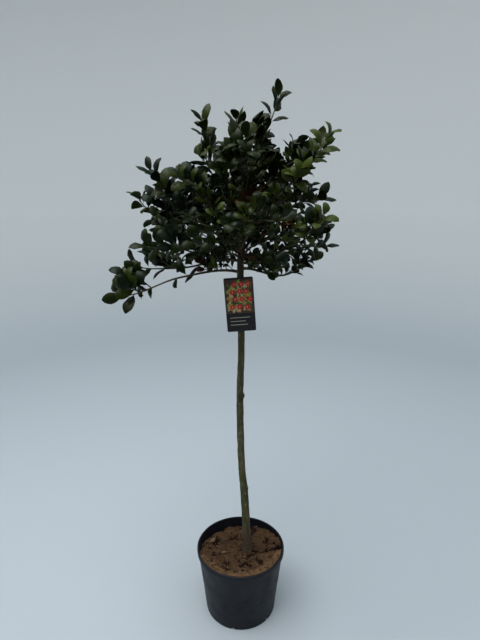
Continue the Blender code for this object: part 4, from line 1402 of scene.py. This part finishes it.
def make_compost(edge, bottom, top, materials):
    """Compost with a crumbly surface, kept inside the pot."""
    pot_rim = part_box("pot")[1]
    low_edge = POT_FOOT_RADIUS - POT_WALL - CLEARANCE
    vertices = [Vector((0, 0, rough_soil(0, 0, edge, top)))]
    angles = [tau * i / SOIL_STEPS for i in range(SOIL_STEPS)]
    for ring in range(1, SOIL_RINGS + 1):
        radius = edge * ring / SOIL_RINGS
        for angle in angles:
            x, y = on_circle(radius, angle)
            height = rough_soil(x, y, edge, top)
            room = wall_radius(height, pot_rim) - POT_WALL - CLEARANCE
            share = min(room / radius, 1)
            vertices.append(Vector((x * share, y * share, height)))
    base = len(vertices)
    vertices += [Vector((*on_circle(low_edge, angle), bottom)) for angle in angles]
    faces = [(0, 1 + i, 1 + j) for i, j in around(SOIL_STEPS)]
    for a in range(1, base, SOIL_STEPS):
        b = a + SOIL_STEPS
        faces += [(a + i, b + i, b + j, a + j) for i, j in around(SOIL_STEPS)]
    faces.append(tuple(reversed(range(base, base + SOIL_STEPS))))
    parts = MeshParts()
    parts.add(vertices, faces)
    for i, face in enumerate(faces[:-1]):
        middle = sum((vertices[corner] for corner in face), Vector()) / len(face)
        parts.slots[i] = soil_slot(middle.x, middle.y, edge)
    return parts.make("compost", *materials)


def make_crumbs(edge, top, materials):
    """Loose crumbs and chips on the compost, with a third of the crumbs along its front edge."""
    rng = random.Random(CRUMB_SEED)
    loose = MeshParts()

    def drawn_place(reach):
        angle = rng.uniform(0, tau)
        return angle, edge * sqrt(rng.uniform(*reach))

    def on_soil(x, y, rise):
        return Vector((x, y, rough_soil(x, y, edge, top) + rise))

    for i in range(CRUMBS):
        angle, radius = drawn_place(CRUMB_REACH)
        share = 1
        if i % 3 == 0:
            angle = radians(rng.uniform(*FRONT_HEADINGS))
            radius = edge * rng.uniform(*FRONT_REACH)
            share = FRONT_CRUMB
        x, y = on_circle(radius, angle)
        size = rng.uniform(*CRUMB_SIZES) * share
        if from_trunk(x, y) >= CRUMB_CLEARANCE:
            add_crumb(loose, on_soil(x, y, size * CRUMB_RISE), size, rng, rng.randrange(len(materials)))
    for _ in range(CHIPS):
        angle, radius = drawn_place(CHIP_REACH)
        centre = on_soil(*on_circle(radius, angle), CHIP_RISE)
        add_chip(loose, centre, rng.uniform(*CHIP_LENGTHS), rng, rng.randrange(len(materials)))
    return loose.make("compost_crumbs", *materials)


# ---- label


def rectangle(left, low, right, high):
    return [(left, low), (right, low), (right, high), (left, high)]


def rounded_rectangle(width, height, corner):
    points = []
    for quarter, (side, end) in enumerate(((1, 1), (-1, 1), (-1, -1), (1, -1))):
        x, y = side * (width / 2 - corner), end * (height / 2 - corner)
        points += arc(x, y, corner, 90 * quarter, 90 * quarter + 90, 4)
    return points


def oval(x, y, half_length, half_width, turn, steps, pointedness=0):
    """An oval outline, or a leaf's, whose sides meet in points."""
    points = []
    for i in range(steps):
        along, across = on_circle(1, tau * i / steps)
        u, v = half_length * along, half_width * (across * (1 - along * along) ** pointedness)
        points.append((x + u * cos(turn) - v * sin(turn), y + u * sin(turn) + v * cos(turn)))
    return points


def printed_leaves(rng, half, low, top):
    """Leaves of several tones all over the picture."""
    shapes = []
    for i in range(PRINTED_LEAVES):
        size = rng.uniform(*PRINTED_LEAF_SIZES)
        side = half - size - PRINT_MARGIN
        x = rng.uniform(-side, side)
        y = rng.uniform(low + size, top - size - 2 * PRINT_MARGIN)
        tone = rng.choice(PRINTED_LEAF_TONES)
        outline = oval(x, y, size, size * PRINTED_LEAF_WIDTH, rng.uniform(0, pi), 16, LEAF_POINT)
        shapes.append((tone, 3 + i / 10, outline))
    return shapes


def printed_flowers(rng, low):
    """Four rows of three flowers, each with five petals round a pale eye."""
    layer = 4 + PRINTED_LEAVES / 10
    shapes = []
    for row, column in itertools.product(range(4), range(3)):
        x = FLOWERS_LEFT + column * FLOWER_SPACING[0] + (row % 2) * FLOWER_SHIFT + rng.uniform(*FLOWER_STRAY)
        y = low + FLOWERS_LOW + row * FLOWER_SPACING[1] + rng.uniform(*FLOWER_STRAY)
        for petal in range(5):
            turn = tau * petal / 5 + row
            out, up = on_circle(PETAL_REACH, turn)
            outline = oval(x + out, y + up, *PETAL_SIZE, turn, 10)
            shapes.append(("print_red", layer + petal / 10, outline))
        shapes.append(("print_cream", layer + 1, oval(x, y, FLOWER_EYE, FLOWER_EYE, 0, 10)))
    return shapes


def card_outlines():
    """(material, layer, outline) of each printed shape, in the card's own plane."""
    rng = random.Random(PRINT_SEED)
    half, top = CARD_WIDTH / 2, CARD_HEIGHT / 2
    low = top - CARD_HEIGHT * PICTURE_SHARE
    face = rounded_rectangle(CARD_WIDTH - PRINT_MARGIN, CARD_HEIGHT - PRINT_MARGIN, CARD_CORNER)
    ground = rectangle(-half + PICTURE_MARGIN, low, half - PICTURE_MARGIN, top - 4 * PICTURE_MARGIN)
    shapes = [("print_night", 1, face), ("print_plum", 2, ground)]
    shapes += printed_leaves(rng, half, low, top)
    shapes += printed_flowers(rng, low)
    for line, width in enumerate(RULE_WIDTHS):
        y = low - FIRST_RULE - line * RULE_SPACING
        shapes.append(("print_cream", 2, rectangle(RULE_LEFT, y, RULE_LEFT + width, y + RULE_HEIGHT)))
    return shapes


def make_label(materials):
    """The card with a plain printed pattern of flowers and leaves over a dark foot with pale rules."""
    low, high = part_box("label_card")
    centre = (low + high) / 2
    placed = Matrix.Translation((centre.x, low.y, centre.z)) @ Matrix.Rotation(pi / 2, 4, "X")
    placed = placed @ Matrix.Rotation(CARD_TURN, 4, "Z")
    names = list(materials)
    parts = MeshParts()
    for name, layer, outline in card_outlines():
        count = len(outline)
        depths = PRINT_LIFT * layer, -PRINT_DEPTH
        vertices = [placed @ Vector((x, y, z)) for z in depths for x, y in outline]
        faces = [tuple(range(count)), tuple(reversed(range(count, 2 * count)))]
        faces += [(j, i, count + i, count + j) for i, j in around(count)]
        parts.add(vertices, faces, names.index(name))
    return parts.make("label_print", *materials.values())


# ---- stage


def make_stage():
    """A pale floor that curves up into a round wall, in a back and a front half.

    The front half is seen by the camera alone, so that gloss shows the darker room before the plant.
    """
    made = new_material("stage", 0.9)
    made.colour(made.height_ramp((0.0, FLOOR_TONE), (WALL_TONE_FROM, WALL_TONE)))
    fillet = WALL_RADIUS - FLOOR_RADIUS
    profile = [(WALL_RADIUS, WALL_HEIGHT), *arc(FLOOR_RADIUS, fillet, fillet, 0, -90, FILLET_STEPS)]
    floor = turned("floor", [(FLOOR_RADIUS, 0), (0, 0)], 2 * WALL_STEPS, made.owner)
    back = turned("backdrop", profile, WALL_STEPS, made.owner, pi)
    front = turned("front_wall", profile, WALL_STEPS, made.owner, -pi)
    front.visible_diffuse = front.visible_glossy = front.visible_shadow = False
    for piece in (floor, back, front):
        apply_modifiers(piece).data.shade_smooth()


def make_camera():
    data = bpy.data.cameras.new("camera")
    data.sensor_width = SENSOR
    data.lens = SENSOR * FOCAL_SHARE
    camera = add_object("camera", data)
    camera.location = CAMERA_PLACE
    camera.rotation_euler = (pi / 2 - CAMERA_PITCH, 0, 0)
    bpy.context.scene.camera = camera


def make_light():
    world = bpy.data.worlds.new("soft_sky")
    bpy.context.scene.world = world
    sky = Nodes(world, "Background")
    direction = sky.add("ShaderNodeTexCoord").outputs["Generated"]
    height = sky.add("ShaderNodeSeparateXYZ", {"Vector": direction}).outputs["Z"]
    stops = [(position, tuple(bright * share for share in SKY_TONE)) for position, bright in SKY_RAMP]
    sky.feed(sky.shader.inputs["Color"], sky.ramp(height, *stops))
    sky.shader.inputs["Strength"].default_value = SKY_STRENGTH
    bpy.context.scene.view_settings.view_transform = "Standard"
    data = bpy.data.lights.new("overhead", "AREA")
    data.shape = "SQUARE"
    data.size = LIGHT_SIZE
    data.energy = LIGHT_WATTS
    light = add_object("overhead", data)
    light.location = LIGHT_PLACE
    light.rotation_euler = (LIGHT_TARGET - LIGHT_PLACE).to_track_quat("-Z", "Y").to_euler()


# ---- the whole scene


def dress_plant(nodes):
    """The trunk, boughs, twigs and leaves, grown along the same courses as the solids."""
    bough_nodes = [f"bough_{limb.name}" for limb in LIMBS]
    trunk = trunk_points()
    courses = limb_courses(trunk)
    limb_tree = surface_tree([nodes[name] for name in ("trunk", "label_card", "pot", "soil", *bough_nodes)])
    bark = bark_material()
    twigs = [speckled_material(*tone) for tone in TWIG_TONES]
    leaves = []
    for name, upper, lower in LEAF_TONES:
        leaves.append(leaf_material(f"{name}_upper", upper, UPPER_ROUGHNESS))
        leaves.append(leaf_material(f"{name}_lower", lower, LOWER_ROUGHNESS))
    materials = {"twig": twigs, "leaf": leaves}
    finish_piece(make_trunk(bark), "bark", "trunk")
    finish_piece(make_boughs(courses, bark, *twigs), "bark", *bough_nodes)
    make_masses(stem_courses(courses, trunk), limb_tree, materials)
    make_core(courses, trunk, limb_tree, materials)


def dress_pot():
    finish_piece(make_pot(plastic_material()), "pot", "pot")
    crumb_materials = [soil_material(*tone) for tone in CRUMB_TONES]
    peat_materials = [soil_material(*tone) for tone in PEAT_TONES]
    low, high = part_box("soil")
    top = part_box("pot")[1].z - SOIL_BELOW_RIM
    finish_piece(make_compost(high.x, low.z, top, peat_materials), "soil", "soil")
    finish_piece(make_crumbs(high.x, top, crumb_materials), "soil")
    finish_piece(make_litter(speckled_material(*DRY_LEAF)), "soil")


def dress_label(nodes):
    materials = {name: card_material(name, colour) for name, colour in PRINT_TONES}
    finish_piece(make_label(materials), "label")
    nodes["label_card"].material_slots[0].material = materials["print_night"]
    nodes["label_strap"].material_slots[0].material = strap_material()


def main():
    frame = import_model()
    make_camera()
    make_stage()
    make_light()
    dress_pot()
    dress_plant(frame["nodes"])
    dress_label(frame["nodes"])


main()
